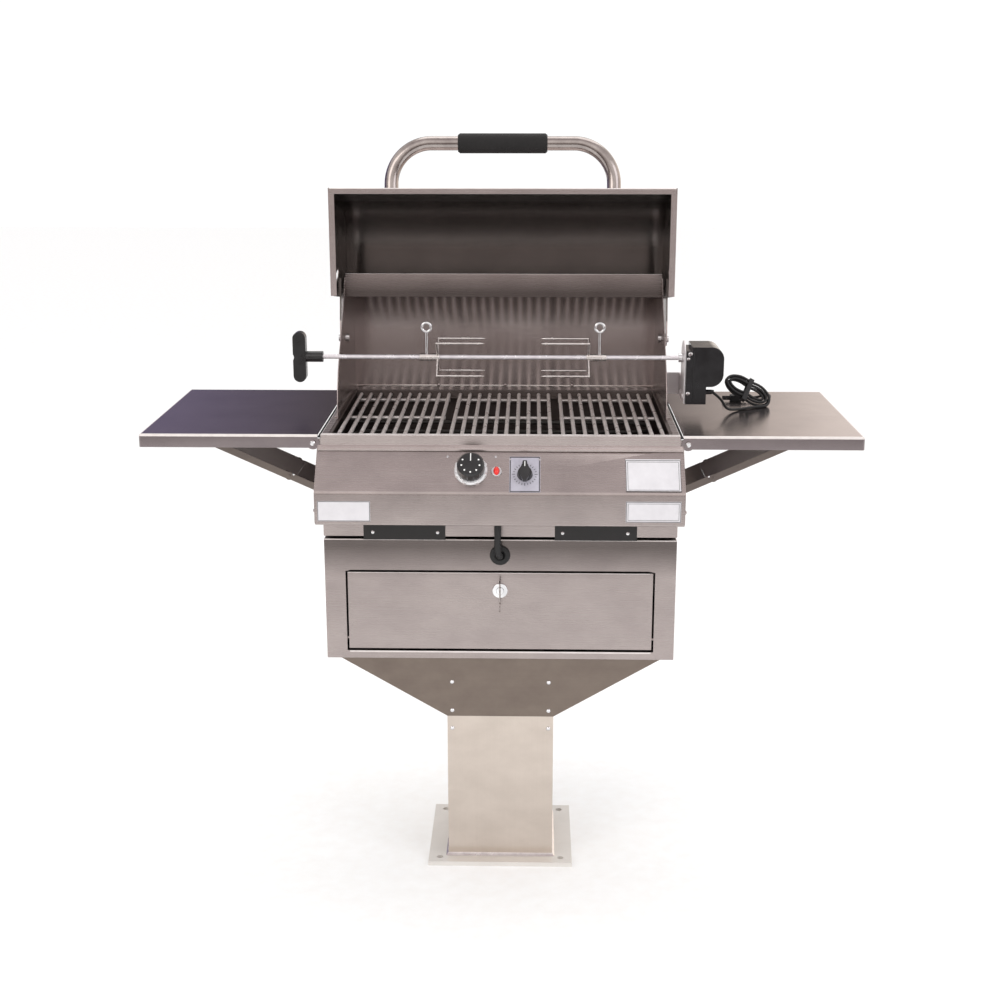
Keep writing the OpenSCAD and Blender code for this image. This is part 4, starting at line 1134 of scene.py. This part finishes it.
    def plates(self) -> None:
        """Build bare plates with thin dark rims, and the small screws beside the controls."""
        self.soften_node("panel_plates", 0.3, Finishes.LABEL, "plate")
        rims = []
        for x0, x1, z0, z1, line in self.front_rims:
            for a, b, c, d in (
                (x0, x1, z0, z0 + line), (x0, x1, z1 - line, z1), (x0, x0 + line, z0, z1), (x1 - line, x1, z0, z1),
            ):  # fmt: skip
                low = (a * MM, (self.plate_y - self.rim_height) * MM, c * MM)
                rims.append(block(low, (b * MM, self.plate_y * MM, d * MM)))
        self.add(joined(rims), "plate_rims", Finishes.INK, "black_plastic")
        bars = []
        for w, h, line in self.slope_rims:
            for x, y, a, b in ((0, h / 2, w, line), (0, -h / 2, w, line), (-w / 2, 0, line, h), (w / 2, 0, line, h)):
                bars.append((mark(a, b, self.rim_height), x, y))
        rim = self.on_slope(bars, self.slope_plate, self.slope_plate_face)
        self.add(rim, "slope_plate_rim", Finishes.INK, "black_plastic")
        heads = [placed(disc(2.6, 1.4, sides=20, crown=0.8), self.slope.place(x, s)) for x, s in self.screws]
        self.add(joined(heads), "control_screws", Finishes.CHROME, "chrome")

    def build(self) -> None:
        """Build the controls."""
        self.knob()
        self.timer_dial()
        self.plates()
        self.soften_node("lamp_bezel", 0.5, Finishes.CHROME, "chrome")
        jewel = lathe(self.jewel)
        bmesh.ops.scale(jewel, vec=self.jewel_stretch, verts=jewel.verts)
        placed(jewel, self.slope.place(*self.lamp))
        self.add(jewel, "lamp_jewel", Finishes.LENS, "red_lens", ["lamp_lens"])
        self.dress_node("heat_control", Finishes.BLACK)
        self.dress_node("timer_body", Finishes.BLACK)


@dataclass
class Head(Assembly):
    """Firebox, ledge, panel, grates, elements, cheeks and the wall behind."""

    lip_z: float = 0.9115  # the ledge's lip, which carries a painted highlight, lies above this
    lip_rise: float = 0.25  # and its faces point up
    visor_y: tuple[float, float] = (0.15, 0.21)
    visor_z: float = 1.13
    visor_facing: float = -0.9
    trim: tuple[Point, Point] = ((-0.329, 0.3393, 0.9205), (0.329, 0.3405, 0.925))
    bolts: tuple[Point, Point] = ((-0.361, -0.1266, 0.898), (0.361, -0.1266, 0.898))

    def on_visor(self, at: Vector, normal: Vector) -> bool:
        """Tell whether a face of the rear housing is on its visor.

        Args:
            at: The face's centre.
            normal: The way it looks.

        Returns:
            Whether it looks at the cook from within the visor's bounds.
        """
        near, far = self.visor_y
        return normal.y < self.visor_facing and near < at.y < far and at.z > self.visor_z

    def build(self) -> None:
        """Build the head's pieces."""
        # The ledge takes the lighter, painted-light copy of the sheet.
        ledge = self.soften_node("front_ledge", 0.5, Finishes.LIT_LEDGE, "stainless", bend_mm=4.5)
        # A painted highlight on the ledge's top lip, on the faces that point up.
        tint(ledge, Finishes.BEND_HIGHLIGHT, lambda at, normal: at.z > self.lip_z and normal.z > self.lip_rise)
        for node in ("firebox_shell", "control_panel", "panel_caps"):
            self.soften_node(node, 0.5, Finishes.SHEET, "stainless", bend_mm=4.5)
        for node in ("cheek_left", "cheek_right"):
            self.soften_node(node, 0.5, Finishes.WALL, "stainless", bend_mm=2.5)
        housing = self.soften_node("rear_housing", 0.5, Finishes.WALL, "stainless", bend_mm=2.5)
        # The visor takes a darker finish with painted shade, darker towards its foot.
        tint(housing, Finishes.VISOR, self.on_visor)
        self.add(block(*self.trim, 0.3 * MM), "wall_trim", Finishes.BRIGHT, "stainless")
        bolts = [placed(disc(5, 3, sides=24, crown=2), facing(at, (0, -1, 0))) for at in self.bolts]
        self.add(joined(bolts), "ledge_bolts", Finishes.CHROME, "chrome")
        self.soften_node("firebox_liner", 0.5, Finishes.DARK, "stainless")
        self.soften_node("drip_tray", 0.5, Finishes.DARK, "stainless")
        self.dress_node("heating_elements", Finishes.ELEMENT)
        for node in ("grate_left", "grate_middle", "grate_right"):
            self.dress_node(node, Finishes.ROD)


@dataclass
class Hood(Assembly):
    """The raised hood with its tube handle and foam grip."""

    middle: Point = (0.0, 0.2, 1.24)
    inward: float = 0.05  # cosine between the normal of a face with painted shade and the way to the middle

    def build(self) -> None:
        """Build the hood's pieces, with painted shade on the faces that look at its middle."""
        middle = Vector(self.middle)
        for node in ("hood_shell", "hood_ends"):
            piece = self.soften_node(node, 0.6, Finishes.HOOD, "stainless", bend_mm=2.0)
            tint(piece, Finishes.SHADED_INSIDE, lambda at, normal: (middle - at).normalized().dot(normal) > self.inward)
        self.dress_node("hood_handle", Finishes.TUBE)
        self.soften_node("hood_grip", 1.2, Finishes.FOAM, "black_rubber", segments=3)
        self.dress_node("hood_pivots", Finishes.CHROME)


@dataclass
class Spit(Assembly):
    """The spit with its handle, forks and hub, and the motor that turns it."""

    bracket_y: float = 0.034
    screws: tuple[Point, ...] = ((0.3765, 1.046, 4.6), (0.3728, 1.036, 3.6), (0.3735, 0.966, 4.2))  # X, Z, radius in mm
    seam: tuple[Point, Point] = ((0.3832, 0.0332, 0.95), (0.3846, 0.0345, 1.05))

    def build(self) -> None:
        """Build the spit's pieces."""
        self.dress_node("spit_rod", Finishes.SPIT)
        self.soften_node("spit_handle", 2.6, Finishes.PHENOLIC, "black_plastic", segments=4)
        self.dress_node("spit_forks", Finishes.BRIGHT)
        self.dress_node("fork_screws", Finishes.CHROME)
        self.dress_node("spit_hub", Finishes.CHROME)
        self.soften_node("motor_bracket", 0.6, Finishes.ZINC, "stainless", "stand")
        heads = [
            placed(disc(radius, 3.4, sides=24, crown=2.2), facing((x, self.bracket_y, z), (0, -1, 0)))
            for x, z, radius in self.screws
        ]
        self.add(joined(heads), "motor_screws", Finishes.CHROME, "chrome", body="stand")
        self.add(block(*self.seam, 0.3 * MM), "motor_seam", Finishes.RUBBER, "black_plastic", body="stand")
        self.soften_node("motor_housing", 5.0, Finishes.CASING, "black_plastic", "stand", segments=4)


@dataclass
class Shelves(Assembly):
    """Two drop shelves with their hinge brackets and folding braces."""

    pin: tuple[float, float] = (357, 790)
    angle_deg: float = 24.3174
    middle: float = 118.5
    half: float = 57.5
    web: tuple[tuple[float, float], ...] = (  # along the brace from its pin and up from its line
        (80, 5.6), (56.4, 5.6), (55.4, 4.9), (55.4, 0.4), (53.9, 0.4), (53.7, 5.4), (53.7, 7), (80, 7),
    )  # fmt: skip
    # where the black strip that stands in for the gap's shade lies
    gap_shade_x: tuple[float, float] = (0.3466, 0.3524)
    gap_shade_z: tuple[float, float] = (0.9075, 0.9095)
    gap_shade_inset: float = 4 * MM

    def tongue(self, side: Side) -> Shape:
        """Bend the outer flap's web where it rolls over the cross rod, between the inner flap's ears.

        Args:
            side: The brace's side.

        Returns:
            The bent sheet.
        """
        turn = math.radians(self.angle_deg)
        mesh = bmesh.new()
        ring = []
        for along, up in self.web:
            x = self.pin[0] + along * math.cos(turn) - up * math.sin(turn)
            z = self.pin[1] + along * math.sin(turn) + up * math.cos(turn)
            ring.append(mesh.verts.new(in_frame(side.value * x, self.middle - self.half, z)))
        made = bmesh.ops.extrude_face_region(mesh, geom=[mesh.faces.new(ring)])
        far = [part for part in made["geom"] if isinstance(part, bmesh.types.BMVert)]
        bmesh.ops.translate(mesh, vec=(0, 2 * self.half * MM, 0), verts=far)
        bmesh.ops.recalc_face_normals(mesh, faces=mesh.faces)
        return mesh

    def build(self) -> None:
        """Build the shelves' pieces."""
        for side in Side:
            name = side.name.lower()
            shelf = f"shelf_{name}"
            self.soften_node(shelf, 0.6, Finishes.SHELF, "stainless", shelf, bend_mm=4.5)
            low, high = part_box(shelf)
            # A black strip fills the gap between shelf and body: a dark thing standing in for the shade in that gap.
            left, right = sorted(side.value * x for x in self.gap_shade_x)
            foot = (left, low.y + self.gap_shade_inset, self.gap_shade_z[0])
            strip = block(foot, (right, high.y - self.gap_shade_inset, self.gap_shade_z[1]), 0.4 * MM)
            self.add(strip, f"shelf_seal_{name}", Finishes.RUBBER, "black_rubber", body=shelf)
            # The braces and their tongue take a finish painted dark for the shadow under the shelves.
            for flap in ("inner", "outer"):
                body = f"brace_{flap}_{name}"
                self.soften_node(body, 0.5, Finishes.SHADED_BRACE, "stainless", body)
            web = self.tongue(side)
            self.add(web, f"brace_tongue_{name}", Finishes.SHADED_BRACE, "stainless", body=f"brace_outer_{name}")
        self.soften_node("shelf_hinges", 0.4, Finishes.SHEET, "stainless")


# Stage


@dataclass
class Studio:
    """Camera, floor, world and soft lights."""

    camera_at: Point = (0.0585, -2.9144, 1.5416)
    pitch: float = 0.2644
    turn: float = 0.021
    lens_mm: float = 53.6
    sensor_mm: float = 36.0
    behind: tuple[tuple[float, str], ...] = (  # the room behind the grill, from left to right
        (0.1, "#6E6680"), (0.3, "#3F393D"), (0.6, "#403A3D"), (0.74, "#C5BAB1"), (0.86, "#FFF4EA"),
    )  # fmt: skip
    ahead: tuple[tuple[float, str], ...] = (  # the room on the cook's side, from the floor up
        (0.0, "#756A68"), (0.18, "#B5ADAA"), (0.45, "#F4F0EE"), (0.75, "#E2DDDC"), (0.92, "#B7AFB0"),
    )  # fmt: skip
    ceiling: str = "#DDD9D6"
    reflected: float = 1.5
    seen: float = 1.06
    floor_half: float = 10.0
    floor_back: float = 5.5

    def camera(self) -> None:
        """Set the camera at the photograph's viewing angle."""
        data = bpy.data.cameras.new("camera")
        data.lens = self.lens_mm
        data.sensor_width = self.sensor_mm
        data.clip_end = 60.0
        camera = bpy.data.objects.new("camera", data)
        camera.location = self.camera_at
        camera.rotation_euler = (math.pi / 2 - self.pitch, 0.0, self.turn)
        bpy.context.scene.collection.objects.link(camera)
        bpy.context.scene.camera = camera

    def world(self) -> None:
        """Make a pale room that the eye sees, and a warm grey room with a dark end that only the metal reflects."""
        world = bpy.data.worlds.new("room")
        bpy.context.scene.world = world
        world.use_nodes = True
        tree = world.node_tree
        tree.nodes.clear()
        way = add_node(tree, "SeparateXYZ", {0: add_node(tree, "TexCoord").outputs["Generated"]}).outputs
        side, high, rise, depth = (
            add_node(tree, "MapRange", {0: way[axis], 1: start, 2: end}).outputs[0]
            for axis, start, end in (("X", -0.3, 0.3), ("Z", 0.34, 0.5), ("Z", -0.1, 1.0), ("Y", -0.25, 0.35))
        )
        walls = []
        for factor, stops in ((side, self.behind), (rise, self.ahead)):
            node = add_node(tree, "ValToRGB", {0: factor})
            elements = node.color_ramp.elements
            while len(elements) < len(stops):
                elements.new(0.5)
            for element, (place, code) in zip(elements, stops):
                element.position = place
                element.color = linear(code)
            walls.append(node.outputs[0])
        back = add_node(tree, "Mix", {0: high, 6: walls[0], 7: linear(self.ceiling)}, data_type="RGBA").outputs[2]
        room = add_node(tree, "Mix", {0: depth, 6: walls[1], 7: back}, data_type="RGBA").outputs[2]
        reflected = add_node(tree, "Background", {"Color": room, "Strength": self.reflected})
        seen = add_node(tree, "Background", {"Color": linear("#FFFFFF"), "Strength": self.seen})
        ray = add_node(tree, "LightPath").outputs["Is Glossy Ray"]
        mixed = add_node(tree, "MixShader", {0: ray, 1: seen.outputs[0], 2: reflected.outputs[0]})
        add_node(tree, "OutputWorld", {0: mixed.outputs[0]})

    def floor(self) -> None:
        """Lay a plain pale floor."""
        mesh = bmesh.new()
        bmesh.ops.create_grid(mesh, x_segments=1, y_segments=1, size=self.floor_half)
        bmesh.ops.translate(mesh, vec=(0, self.floor_back, 0), verts=mesh.verts)
        dress(settle(mesh, "floor"), Finishes.FLOOR)

    def lamp(self, name: str, at: Point, aim: Point, size: float, watts: float, colour: str = "#FFFFFF") -> None:
        """Hang a square soft light.

        Args:
            name: The light's name.
            at: Where it hangs.
            aim: Where it looks.
            size: Its side in metres.
            watts: Its power.
            colour: Its tint.
        """
        data = bpy.data.lights.new(name, "AREA")
        data.size = size
        data.energy = watts
        data.color = linear(colour)[:3]
        light = bpy.data.objects.new(name, data)
        light.location = at
        light.rotation_euler = (Vector(aim) - Vector(at)).to_track_quat("-Z", "Y").to_euler()
        bpy.context.scene.collection.objects.link(light)

    def build(self) -> None:
        """Set the whole stage."""
        self.camera()
        self.world()
        self.floor()
        self.lamp("key", (-2.4, -2.8, 3.0), (0, 0, 0.8), size=2.2, watts=30.0, colour="#FFFAF5")
        self.lamp("fill", (2.8, -1.8, 2.4), (0, 0, 0.8), size=2.0, watts=18.0, colour="#F6F7FF")
        self.lamp("top", (0.3, 1.2, 3.6), (0, 0, 0.9), size=2.4, watts=25.0)
        scene = bpy.context.scene
        scene.view_settings.view_transform = "Standard"
        scene.view_settings.look = "None"


def main() -> None:
    """Build the grill in order, camera and cords first."""
    logging.basicConfig(level=logging.INFO, format="%(name)s: %(message)s")
    Studio().build()
    assemblies = (
        Lead("shelf_right"),
        Supply("stand"),
        Pedestal("stand"),
        Cabinet("stand"),
        Head("stand"),
        Controls("stand"),
        Hood("hood"),
        Spit("spit"),
        Shelves("stand"),
    )
    for part in assemblies:
        part.build()
        log.info("%s: %s", type(part).__name__, ", ".join(part.pieces))


if __name__ == "__main__":
    main()
